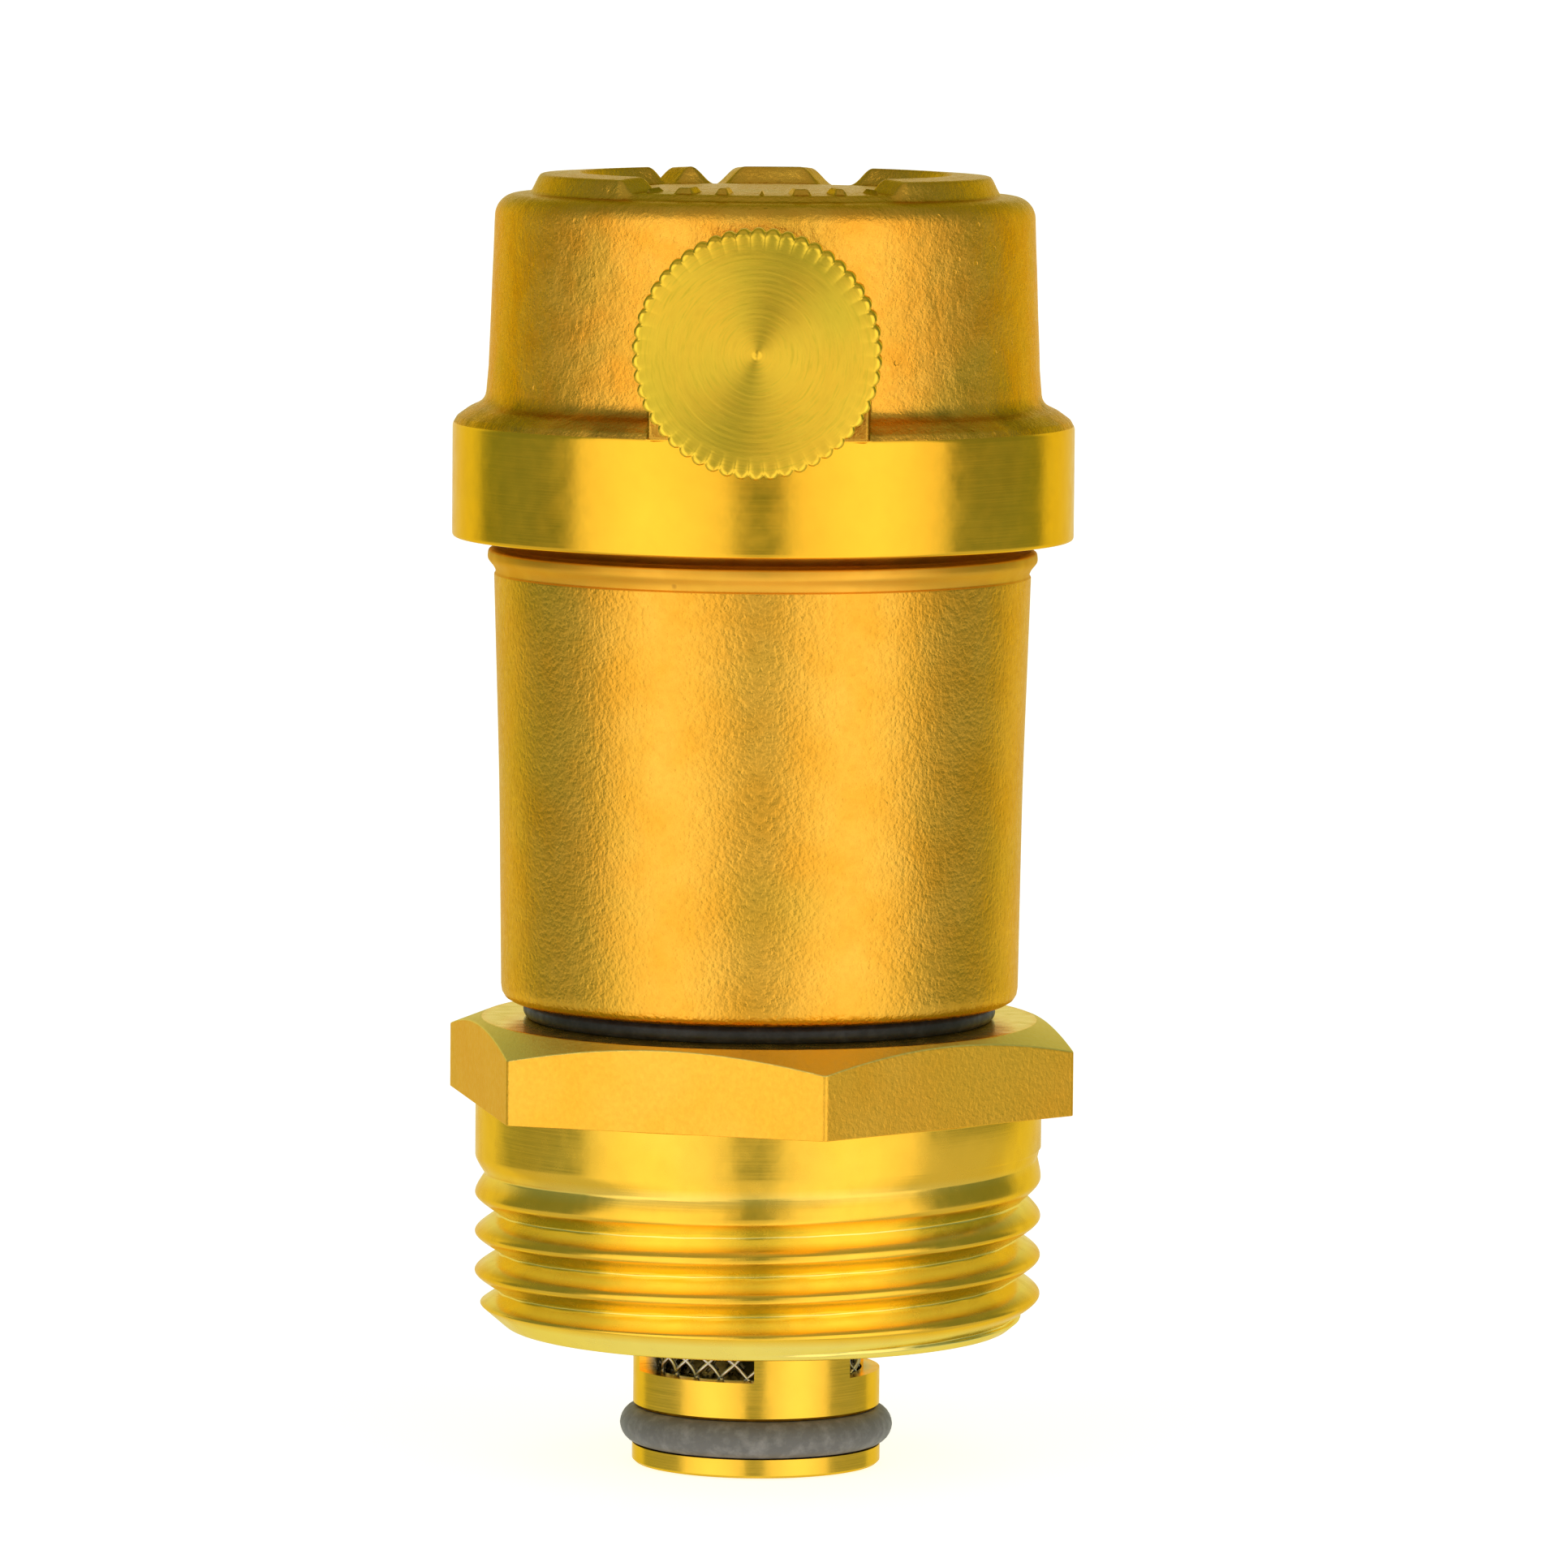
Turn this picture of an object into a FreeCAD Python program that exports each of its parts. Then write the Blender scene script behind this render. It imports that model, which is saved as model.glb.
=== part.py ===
"""Brass automatic air vent with a side outlet, screwed into a self-closing pipe adapter.

Millimetres. The origin is on the pipe thread's axis, in the plane of the hexagon's underside, which
seats on the port. +Z points up through the vent, and the bleed knob faces -Y. Every piece is drawn at
rest: the knob is screwed home, the float hangs down with the valve open, and the vent holds the
shut-off spool down.
"""

import FreeCAD, Part
import math
import os

Vector = FreeCAD.Vector
ORIGIN = Vector(0, 0, 0)
X_AXIS = Vector(1, 0, 0)
Z_AXIS = Vector(0, 0, 1)

RUNNING_GAP = 0.05          # radial clearance of threads, shafts and spigots in their bores
STATIC_GAP = 0.02           # radial clearance between pieces that never move apart
CREST_SHARE = 0.17          # flat width of a thread's crest and root, as a share of its pitch
THREAD_LEAST_CUT = 0.2      # share of a thread groove that has to lie inside the finished piece
ROD_SPARES = (1.3, 1.0, 0.5, 1.7, 2.6)  # lengths of rod beyond a threaded piece, cut off once it is threaded

# Adapter: hexagon, G1 pipe thread and the bores that hold the shut-off spool
HEX_FLATS = 33.5
HEX_HEIGHT = 4.95
HEX_CHAMFER_RADIUS = 16.3
HEX_CORNER_DROP = 1.2
HEX_CORNER_ANGLE = -77.6    # one corner points this way round from +X
PIPE_RADIUS = 33.249 / 2
PIPE_DEPTH = 1.479
PIPE_PITCH = 2.309
COLLAR_HEIGHT = 2.4
RUNOUT_RADIUS = 16.15
RUNOUT_HEIGHT = 1.5
GROOVE_END_ANGLE = 73.4     # just short of where the pipe thread's groove ends, round from +X
ADAPTER_BOTTOM = -13.3
ADAPTER_BOTTOM_RADIUS = 14.75
ADAPTER_BOTTOM_CHAMFER = 1.6
SPRING_SHOULDER = -10.0
SPRING_CHAMBER_RADIUS = 9.6
ADAPTER_THREAD_END = -4.0
SEAT_CHAMFER = 1.2

# Joint between vent and adapter: G1/2 thread
SPIGOT_RADIUS = 20.955 / 2
SPIGOT_DEPTH = 1.162
SPIGOT_PITCH = 1.814
SPIGOT_BOTTOM = -3.0
SPIGOT_UNDERCUT = 1.4
SPIGOT_BORE_RADIUS = 6.5

# Shut-off spool, its O-ring, strainer and spring
SPOOL_RADIUS = 7.25
SPOOL_BOTTOM = -21.3
SPOOL_LIP_RADIUS = 7.3
SPOOL_LIP_HEIGHT = 1.1
SPOOL_BORE_RADIUS = 6.2
SPOOL_FLOOR = -17.0
SPOOL_FLANGE_RADIUS = 9.2
SPOOL_FLANGE_HEIGHT = 1.15
SPOOL_TOP = SPIGOT_BOTTOM - RUNNING_GAP
ORING_SECTION_RADIUS = 1.1
ORING_RADIUS = 6.9
ORING_GROOVE_HEIGHT = 2.25
WINDOW_COUNT = 3
WINDOW_ANGLE = 70.0
WINDOW_START = 200.0        # one window begins this way round from +X
WINDOW_BOTTOM = -15.7
WINDOW_TOP = -10.8
STRAINER_THICKNESS = 0.35
STRAINER_TOP = -5.0
SPRING_WIRE_RADIUS = 0.4
SPRING_WIRE_SIDES = 12
SPRING_RADIUS = 8.25
SPRING_TURNS = 4

# Body: the float chamber
GASKET_RADIUS = 13.85
GASKET_BORE_RADIUS = 10.75
BODY_BOTTOM = 6.0
BODY_BOTTOM_RADIUS = 15.15
BODY_MIDDLE = (15.33, 19.0)
BODY_CAST_TOP = (15.7, 31.0)
BODY_EDGE = 0.8
BODY_LIP_RADIUS = 16.35
BODY_LIP_HEIGHT = 32.1
BODY_SHOULDER = 32.6
CHAMBER_RADIUS = 13.4
CHAMBER_FLOOR = 8.2
CHAMBER_CORNER = 2.0
NECK_TOP = 39.4
NECK_RADIUS = 16.0
NECK_DEPTH = 0.92
NECK_PITCH = 1.5
NECK_UNDERCUT = 0.9

# Cover
BAND_RADIUS = 18.17
BAND_BOTTOM = 33.2
BAND_TOP = 39.75
COVER_SHOULDER = ((17.95, 40.2), (17.2, 40.72))
COVER_FOOT = (16.13, 42.2)
COVER_FOOT_ARC = (16.4, 41.3)
COVER_WALL_TOP = (15.76, 51.9)
COVER_EDGE_RADIUS = 1.3
COVER_DOME_RISE = 0.5
COVER_CHAMBER_RADIUS = 13.6
COVER_CHAMBER_TOP = 50.6
COVER_SEAL_THICKNESS = 0.5
RELIEF_HEIGHT = 1.05
RELIEF_OUTER_RADIUS = 13.8
RELIEF_INNER_RADIUS = 10.2
RELIEF_ARCS = ((-146, -33), (-28, -16), (-11, 15), (28, 146))   # degrees clockwise from +Y
RELIEF_BLOCKS = 9
RELIEF_BLOCK_SPAN = 84.0    # degrees that the row of blocks covers
RELIEF_BLOCK_SIZE = (1.2, 1.7)
RELIEF_BLOCK_RADIUS = 11.9

# Side outlet: boss, nozzle and knob, by their distance outward from the vent's axis
OUTLET_HEIGHT = 45.1
BOSS_WIDTH = 12.6
BOSS_FACE = 17.4
BOSS_BOTTOM = 39.9
INNER_PAD_FACE = 12.0
INNER_PAD_WIDTH = 9.2
INNER_PAD_BOTTOM = 40.6
INNER_PAD_TOP = 49.2
NOZZLE_RADIUS = 4.0
NOZZLE_DEPTH = 0.6
NOZZLE_PITCH = 1.0
NOZZLE_TIP = 9.6
NOZZLE_TIP_RADIUS = 2.0
NOZZLE_BARREL_RADIUS = 3.0
NOZZLE_BARREL_END = 10.4
NOZZLE_END = 22.4
ORIFICE_RADIUS = 0.75
ORIFICE_LENGTH = 4.0
NOZZLE_BORE_RADIUS = 1.6
WASHER_THICKNESS = 0.7
WASHER_RADIUS = 5.2
SPOTFACE_RADIUS = 5.45
FLANGE_FLATS = 10.0
FLANGE_THICKNESS = 1.2
CAP_SEAL_THICKNESS = 0.6
CAP_SEAL_RADIUS = 3.8
KNOB_RADIUS = 7.08
KNOB_BACK = 19.6
KNOB_FRONT = 24.6
KNOB_TEETH = 50
KNOB_TOOTH_DEPTH = 0.26
KNOB_BEVEL = 0.5

# Float
FLOAT_RADIUS = 11.6
FLOAT_BOTTOM = 9.2
FLOAT_JOIN = 29.5
FLOAT_RIM = 30.0
FLOAT_CROWN = 31.6
FLOAT_WALL = 0.7
FLOAT_CORNER = 1.4
STEM_RADIUS = 1.0
HOOK_PIN_RADIUS = 0.6
HOOK_PIN_LENGTH = 5.4

# Valve lever: a bell crank on a pin under the nozzle
PIVOT_OUT = 7.9             # the pivot's distance from the vent's axis, towards the knob
PIVOT_HEIGHT = 40.1
LEVER_SWING = 21.0          # degrees from open to closed, half above and half below level
LEVER_HUB_RADIUS = 1.7
LEVER_HUB_LENGTH = 6.4
LEVER_PIN_RADIUS = 0.8
LEVER_PIN_LENGTH = 8.6
LEVER_PLATE_WIDTH = 4.2
LEVER_PLATE_THICKNESS = 1.0
LEVER_PLATE_TOP = 47.8
LEVER_ARM_INNER = 1.35
LEVER_ARM_THICKNESS = 1.0
LEVER_ARM_HEIGHT = 2.6
LEVER_ARM_OVERHANG = 1.9
SLOT_LENGTH = 1.9
SLOT_HEIGHT = 1.4
PAD_RADIUS = 2.5
PAD_THICKNESS = 1.2
PAD_STEM_RADIUS = 0.9
BRACKET_THICKNESS = 1.0
BRACKET_WIDTH = 8.4
BRACKET_TOP = 48.6
EAR_THICKNESS = 0.8
EAR_BOTTOM = 38.6
EAR_TOP = 42.0
EAR_END = 6.3
CLIP_THICKNESS = 0.5
CLIP_RADIUS = 4.1
CLIP_GROOVE_RADIUS = 2.5


def lathe(start, *steps):
    """Turn a closed (radius, height) outline about Z.

    A step is an end point for a line, or a through point and an end point for an arc.
    """
    edges = []
    here = Vector(start[0], 0, start[1])
    for step in steps + (start,):
        if isinstance(step[0], tuple):
            through, end = (Vector(radius, 0, height) for radius, height in step)
            edges.append(Part.Arc(here, through, end).toShape())
        else:
            end = Vector(step[0], 0, step[1])
            edges.append(Part.LineSegment(here, end).toShape())
        here = end
    return Part.Face(Part.Wire(edges)).revolve(ORIGIN, Z_AXIS, 360)


def cylinder(radius, bottom, top):
    return Part.makeCylinder(radius, top - bottom, Vector(0, 0, bottom))


def block(x, y, z):
    """Box between the given (low, high) pairs."""
    size = [high - low for low, high in (x, y, z)]
    return Part.makeBox(*size, Vector(x[0], y[0], z[0]))


def polygon_prism(points, bottom, top):
    corners = [Vector(x, y, bottom) for x, y in points]
    face = Part.Face(Part.makePolygon(corners + corners[:1]))
    return face.extrude(Vector(0, 0, top - bottom))


def hexagon_prism(flats, bottom, top, corner_angle=0.0):
    radius = flats / math.sqrt(3)
    angles = [math.radians(corner_angle + 60 * i) for i in range(6)]
    return polygon_prism([(radius * math.cos(a), radius * math.sin(a)) for a in angles], bottom, top)


def sector(inner, outer, bottom, top, start, sweep):
    """Part of a ring, from the start angle round by sweep degrees."""
    whole = Part.makeCylinder(outer, top - bottom, Vector(0, 0, bottom), Z_AXIS, sweep)
    piece = whole.cut(cylinder(inner, bottom, top))
    piece.rotate(ORIGIN, Z_AXIS, start)
    return piece


def helical_groove(radius, depth, pitch, start, end):
    """Cutter for a right-hand thread with flat crests and roots."""
    flat = CREST_SHARE * pitch
    slope = (0.5 * pitch - flat) / depth
    proud = 0.15 * depth
    root = radius - depth
    inner_half = 0.5 * flat
    outer_half = inner_half + slope * (depth + proud)
    outer = radius + proud
    section = ((root, -inner_half), (outer, -outer_half), (outer, outer_half), (root, inner_half))
    corners = [Vector(x, 0, z) for x, z in section]
    profile = Part.makePolygon(corners + corners[:1])
    helix = Part.makeHelix(pitch, end - start, root)
    groove = Part.Wire(helix).makePipeShell([profile], True, True)
    groove.translate(Vector(0, 0, start))
    return groove


def in_eighths(shape, first_angle):
    """The same solid with its faces split at eight half planes round the Z axis.

    Each face of a thread's crest then climbs less than the crest is wide.
    """
    bounds = shape.BoundBox
    reach = bounds.DiagonalLength
    eighths = []
    for i in range(8):
        wedge = Part.makeCylinder(reach, bounds.ZLength + 2, Vector(0, 0, bounds.ZMin - 1), Z_AXIS, 45)
        wedge.rotate(ORIGIN, Z_AXIS, first_angle + 45 * i)
        eighths.append(shape.common(wedge))
    return eighths[0].fuse(eighths[1:])


def threaded(outline, radius, depth, pitch, low, high, run_out_up):
    """Threaded piece of a turned outline between two heights, open at its top or at its bottom.

    The groove is cut in a longer plain rod, which is then turned down to the outline. The solid kernel
    can miss a helix that ends on an edge, so other lengths of rod are tried until the thread is there.
    """
    turned = lathe(*outline)
    for spare in ROD_SPARES:
        if run_out_up:
            start, end = low, high + spare + 0.7 * pitch
        else:
            start, end = low - spare - 0.7 * pitch, high
        groove = helical_groove(radius, depth, pitch, start, end)
        rod = cylinder(radius, outline_bottom(outline) - spare, outline_top(outline) + spare)
        piece = rod.cut(groove).common(turned)
        if piece.Solids and turned.Volume - piece.Volume > THREAD_LEAST_CUT * groove.Volume:
            return piece
    raise RuntimeError("no length of rod takes this thread")


def outline_bottom(outline):
    return min(point[1] for point in outline)


def outline_top(outline):
    return max(point[1] for point in outline)


def outward(shape):
    """Lay a shape made along Z on the outlet's axis, so that its height becomes the distance outward."""
    shape.rotate(ORIGIN, X_AXIS, 90)
    shape.translate(Vector(0, 0, OUTLET_HEIGHT))
    return shape


def adapter():
    """Hexagon and pipe thread in one piece, bored for the vent's thread and for the spool."""
    thread_top = -COLLAR_HEIGHT - RUNOUT_HEIGHT
    corner = HEX_FLATS / math.sqrt(3)
    slope = HEX_CORNER_DROP / (corner - HEX_CHAMFER_RADIUS)
    reach = corner + 1.0
    envelope = lathe((0, 0), (reach, 0), (reach, HEX_HEIGHT - slope * (reach - HEX_CHAMFER_RADIUS)),
                     (HEX_CHAMFER_RADIUS, HEX_HEIGHT), (0, HEX_HEIGHT))
    head = hexagon_prism(HEX_FLATS, 0, HEX_HEIGHT, HEX_CORNER_ANGLE).common(envelope)
    turned = ((0, ADAPTER_BOTTOM), (ADAPTER_BOTTOM_RADIUS, ADAPTER_BOTTOM),
              (PIPE_RADIUS, ADAPTER_BOTTOM + ADAPTER_BOTTOM_CHAMFER), (PIPE_RADIUS, thread_top - 0.4),
              (RUNOUT_RADIUS, thread_top), (RUNOUT_RADIUS, -COLLAR_HEIGHT - 0.4),
              (PIPE_RADIUS, -COLLAR_HEIGHT), (PIPE_RADIUS, 0), (0, 0))
    rod = threaded(turned, PIPE_RADIUS, PIPE_DEPTH, PIPE_PITCH, ADAPTER_BOTTOM, thread_top - 0.3, False)
    upper = SPIGOT_RADIUS + RUNNING_GAP
    lower = SPOOL_LIP_RADIUS + RUNNING_GAP
    seat_top = ADAPTER_BOTTOM + SEAT_CHAMFER
    bore = lathe((0, ADAPTER_BOTTOM - 1), (lower + SEAT_CHAMFER, ADAPTER_BOTTOM - 1),
                 (lower + SEAT_CHAMFER, ADAPTER_BOTTOM), (lower, seat_top), (lower, SPRING_SHOULDER),
                 (SPRING_CHAMBER_RADIUS, SPRING_SHOULDER), (SPRING_CHAMBER_RADIUS, ADAPTER_THREAD_END),
                 (upper, ADAPTER_THREAD_END + 0.5), (upper, HEX_HEIGHT - 0.6),
                 (upper + 0.6, HEX_HEIGHT), (upper + 0.6, HEX_HEIGHT + 1), (0, HEX_HEIGHT + 1))
    return in_eighths(rod, GROOVE_END_ANGLE).fuse(head).cut(bore)


def shutoff_spool():
    """Tube with a closed foot, an O-ring groove, three side windows and a flange for the spring."""
    lip_top = SPOOL_BOTTOM + SPOOL_LIP_HEIGHT
    groove_top = lip_top + ORING_GROOVE_HEIGHT
    groove = ORING_RADIUS - ORING_SECTION_RADIUS
    flange_bottom = SPOOL_TOP - SPOOL_FLANGE_HEIGHT
    tube = lathe((0, SPOOL_BOTTOM), (SPOOL_LIP_RADIUS - 0.15, SPOOL_BOTTOM),
                 (SPOOL_LIP_RADIUS, SPOOL_BOTTOM + 0.15), (SPOOL_LIP_RADIUS, lip_top),
                 (groove, lip_top), (groove, groove_top),
                 (SPOOL_RADIUS - 0.15, groove_top), (SPOOL_RADIUS, groove_top + 0.15),
                 (SPOOL_RADIUS, flange_bottom), (SPOOL_FLANGE_RADIUS, flange_bottom),
                 (SPOOL_FLANGE_RADIUS, SPOOL_TOP), (SPOOL_BORE_RADIUS, SPOOL_TOP),
                 (SPOOL_BORE_RADIUS, SPOOL_FLOOR), (0, SPOOL_FLOOR))
    for i in range(WINDOW_COUNT):
        start = WINDOW_START + 360.0 / WINDOW_COUNT * i
        inner = SPOOL_BORE_RADIUS - 0.3
        outer = SPOOL_RADIUS + 1
        tube = tube.cut(sector(inner, outer, WINDOW_BOTTOM, WINDOW_TOP, start, WINDOW_ANGLE))
    return tube


def spool_o_ring():
    middle = SPOOL_BOTTOM + SPOOL_LIP_HEIGHT + 0.5 * ORING_GROOVE_HEIGHT
    return Part.makeTorus(ORING_RADIUS + STATIC_GAP, ORING_SECTION_RADIUS, Vector(0, 0, middle))


def strainer_mesh():
    """Sleeve of woven wire inside the spool, drawn at the cloth's full thickness."""
    outer = SPOOL_BORE_RADIUS - STATIC_GAP
    bottom = SPOOL_FLOOR + STATIC_GAP
    inner = outer - STRAINER_THICKNESS
    return cylinder(outer, bottom, STRAINER_TOP).cut(cylinder(inner, bottom, STRAINER_TOP))


def spool_spring():
    """Compression spring between the adapter's shoulder and the spool's flange."""
    bottom = SPRING_SHOULDER + SPRING_WIRE_RADIUS + STATIC_GAP
    top = SPOOL_TOP - SPOOL_FLANGE_HEIGHT - SPRING_WIRE_RADIUS - RUNNING_GAP
    helix = Part.makeHelix((top - bottom) / SPRING_TURNS, top - bottom, SPRING_RADIUS)
    angles = [2 * math.pi * i / SPRING_WIRE_SIDES for i in range(SPRING_WIRE_SIDES)]
    section = [Vector(SPRING_WIRE_RADIUS * math.cos(a), 0, SPRING_WIRE_RADIUS * math.sin(a)) for a in angles]
    corners = [Vector(SPRING_RADIUS, 0, 0) + point for point in section]
    spring = Part.Wire(helix).makePipeShell([Part.makePolygon(corners + corners[:1])], True, True)
    spring.translate(Vector(0, 0, bottom))
    return spring


def body_gasket():
    """Rubber ring between the hexagon and the body, with a rounded outer edge."""
    half = 0.5 * (BODY_BOTTOM - HEX_HEIGHT)
    return lathe((GASKET_BORE_RADIUS, HEX_HEIGHT), (GASKET_RADIUS - half, HEX_HEIGHT),
                 ((GASKET_RADIUS, HEX_HEIGHT + half), (GASKET_RADIUS - half, BODY_BOTTOM)),
                 (GASKET_BORE_RADIUS, BODY_BOTTOM))


def spigot():
    """The body's lower thread, which screws into the adapter."""
    root = SPIGOT_RADIUS - SPIGOT_DEPTH
    top = BODY_BOTTOM - SPIGOT_UNDERCUT
    turned = ((SPIGOT_BORE_RADIUS, SPIGOT_BOTTOM), (root - 0.1, SPIGOT_BOTTOM),
              (SPIGOT_RADIUS, SPIGOT_BOTTOM + 0.9), (SPIGOT_RADIUS, top - 0.6), (root - 0.1, top),
              (root - 0.1, BODY_BOTTOM), (SPIGOT_BORE_RADIUS, BODY_BOTTOM))
    return threaded(turned, SPIGOT_RADIUS, SPIGOT_DEPTH, SPIGOT_PITCH, SPIGOT_BOTTOM, top - 0.3, False)


def neck():
    """The body's upper thread, which the cover screws onto."""
    root = NECK_RADIUS - NECK_DEPTH
    bottom = BODY_SHOULDER + NECK_UNDERCUT
    turned = ((CHAMBER_RADIUS, BODY_SHOULDER), (root - 0.1, BODY_SHOULDER), (root - 0.1, bottom),
              (NECK_RADIUS, bottom + 0.6), (NECK_RADIUS, NECK_TOP - 0.7), (root - 0.1, NECK_TOP),
              (CHAMBER_RADIUS, NECK_TOP))
    return threaded(turned, NECK_RADIUS, NECK_DEPTH, NECK_PITCH, bottom + 0.3, NECK_TOP, True)


def body():
    """Float chamber with a threaded spigot below and a threaded neck above."""
    edge = BODY_EDGE * (1 - math.sqrt(0.5))
    corner = CHAMBER_CORNER * (1 - math.sqrt(0.5))
    cast_radius, cast_top = BODY_CAST_TOP
    foot = ((BODY_BOTTOM_RADIUS - edge, BODY_BOTTOM + edge), (BODY_BOTTOM_RADIUS, BODY_BOTTOM + BODY_EDGE))
    inner_foot = ((CHAMBER_RADIUS - corner, CHAMBER_FLOOR + corner),
                  (CHAMBER_RADIUS - CHAMBER_CORNER, CHAMBER_FLOOR))
    shell = lathe((SPIGOT_BORE_RADIUS, BODY_BOTTOM), (BODY_BOTTOM_RADIUS - BODY_EDGE, BODY_BOTTOM), foot,
                  BODY_MIDDLE, BODY_CAST_TOP, (cast_radius - 0.12, cast_top + 0.12),
                  (cast_radius - 0.12, BODY_LIP_HEIGHT - 0.5),
                  ((BODY_LIP_RADIUS, BODY_LIP_HEIGHT), (cast_radius, BODY_SHOULDER)),
                  (CHAMBER_RADIUS, BODY_SHOULDER), (CHAMBER_RADIUS, CHAMBER_FLOOR + CHAMBER_CORNER),
                  inner_foot, (SPIGOT_BORE_RADIUS, CHAMBER_FLOOR))
    return shell.fuse(spigot()).fuse(neck())


def dome():
    """Radius and centre height of the cover's spherical top, and the radius and height of its rim."""
    rim = COVER_WALL_TOP[0] - COVER_EDGE_RADIUS
    height = COVER_WALL_TOP[1] + COVER_EDGE_RADIUS
    sphere = (rim ** 2 + COVER_DOME_RISE ** 2) / (2 * COVER_DOME_RISE)
    return sphere, height + COVER_DOME_RISE - sphere, rim, height


def cover_relief():
    """Raised ornament on the dome: a broken ring of arcs, and a row of plain blocks along the front."""
    sphere, centre, _, _ = dome()
    raised = Part.makeSphere(sphere + RELIEF_HEIGHT, Vector(0, 0, centre))
    low = COVER_CHAMBER_TOP + 1.2
    high = centre + sphere + RELIEF_HEIGHT + 1
    pieces = []
    for first, last in RELIEF_ARCS:
        pieces.append(sector(RELIEF_INNER_RADIUS, RELIEF_OUTER_RADIUS, low, high, 90 - last, last - first))
    depth, width = RELIEF_BLOCK_SIZE
    for i in range(RELIEF_BLOCKS):
        angle = -90 + RELIEF_BLOCK_SPAN * (i / (RELIEF_BLOCKS - 1) - 0.5)
        near = (RELIEF_BLOCK_RADIUS - 0.5 * width, RELIEF_BLOCK_RADIUS + 0.5 * width)
        piece = block(near, (-0.5 * depth, 0.5 * depth), (low, high))
        piece.rotate(ORIGIN, Z_AXIS, angle)
        pieces.append(piece)
    return [piece.common(raised) for piece in pieces]


def cover():
    """Cast cover with a turned band, a boss for the side outlet and a pad inside for the lever's bracket."""
    wall_radius, wall_top = COVER_WALL_TOP
    edge = COVER_EDGE_RADIUS
    bend = edge * (1 - math.sqrt(0.5))
    sphere, centre, rim, rim_height = dome()
    half_way = centre + math.sqrt(sphere ** 2 - 0.25 * rim ** 2)
    skirt_bore = NECK_RADIUS + RUNNING_GAP
    seal_top = NECK_TOP + COVER_SEAL_THICKNESS
    outside = lathe((0, BAND_BOTTOM), (BAND_RADIUS - 0.15, BAND_BOTTOM), (BAND_RADIUS, BAND_BOTTOM + 0.15),
                    (BAND_RADIUS, BAND_TOP), COVER_SHOULDER[0], COVER_SHOULDER[1],
                    (COVER_FOOT_ARC, COVER_FOOT), COVER_WALL_TOP,
                    ((wall_radius - bend, wall_top + edge - bend), (rim, rim_height)),
                    ((0.5 * rim, half_way), (0, centre + sphere)))
    half = 0.5 * BOSS_WIDTH
    boss = block((-half, half), (-BOSS_FACE, -INNER_PAD_FACE), (BOSS_BOTTOM, OUTLET_HEIGHT))
    boss = boss.fuse(outward(cylinder(half, INNER_PAD_FACE, BOSS_FACE)))
    inside = lathe((0, BAND_BOTTOM - 1), (skirt_bore, BAND_BOTTOM - 1), (skirt_bore, seal_top),
                   (COVER_CHAMBER_RADIUS, seal_top),
                   (COVER_CHAMBER_RADIUS, COVER_CHAMBER_TOP - CHAMBER_CORNER),
                   (COVER_CHAMBER_RADIUS - CHAMBER_CORNER, COVER_CHAMBER_TOP), (0, COVER_CHAMBER_TOP))
    pad_half = 0.5 * INNER_PAD_WIDTH
    pad = block((-pad_half, pad_half), (1 - BOSS_FACE, -INNER_PAD_FACE), (INNER_PAD_BOTTOM, INNER_PAD_TOP))
    hole = outward(cylinder(NOZZLE_RADIUS + RUNNING_GAP, INNER_PAD_FACE - 2, BOSS_FACE + 1))
    spotface = outward(cylinder(SPOTFACE_RADIUS, BOSS_FACE, BOSS_FACE + 2))
    solid = outside.fuse(boss).cut(inside).fuse(pad).cut(hole).cut(spotface)
    return solid.fuse(cover_relief()).removeSplitter()


def cover_seal():
    outer = NECK_RADIUS - NECK_DEPTH
    top = NECK_TOP + COVER_SEAL_THICKNESS
    return cylinder(outer, NECK_TOP, top).cut(cylinder(COVER_CHAMBER_RADIUS + 0.2, NECK_TOP, top))


def vent_nozzle():
    """Outlet with a fine orifice at its inner tip, a hexagon, and a threaded nipple for the knob."""
    root = NOZZLE_RADIUS - NOZZLE_DEPTH
    washer_out = BOSS_FACE + WASHER_THICKNESS
    flange_out = washer_out + FLANGE_THICKNESS
    groove_in = INNER_PAD_FACE - BRACKET_THICKNESS - CLIP_THICKNESS
    core = lathe((0, NOZZLE_TIP), (NOZZLE_TIP_RADIUS - 0.6, NOZZLE_TIP),
                 (NOZZLE_TIP_RADIUS, NOZZLE_TIP + 0.4),
                 (NOZZLE_TIP_RADIUS, NOZZLE_BARREL_END - 0.2), (CLIP_GROOVE_RADIUS, groove_in),
                 (CLIP_GROOVE_RADIUS, groove_in + CLIP_THICKNESS),
                 (NOZZLE_BARREL_RADIUS, groove_in + CLIP_THICKNESS), (NOZZLE_BARREL_RADIUS, INNER_PAD_FACE),
                 (NOZZLE_RADIUS, INNER_PAD_FACE), (NOZZLE_RADIUS, washer_out), (0, washer_out))
    flange = hexagon_prism(FLANGE_FLATS, washer_out, flange_out)
    turned = ((0, flange_out), (root - 0.1, flange_out), (root - 0.1, flange_out + 0.2),
              (NOZZLE_RADIUS, flange_out + 0.6), (NOZZLE_RADIUS, NOZZLE_END - 0.5), (root - 0.1, NOZZLE_END),
              (0, NOZZLE_END))
    nipple = threaded(turned, NOZZLE_RADIUS, NOZZLE_DEPTH, NOZZLE_PITCH, flange_out + 0.4, NOZZLE_END, True)
    orifice = cylinder(ORIFICE_RADIUS, NOZZLE_TIP - 1, NOZZLE_TIP + ORIFICE_LENGTH)
    bore = cylinder(NOZZLE_BORE_RADIUS, NOZZLE_TIP + ORIFICE_LENGTH, NOZZLE_END + 1)
    return outward(core.fuse(flange).fuse(nipple).cut(orifice).cut(bore))


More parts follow.
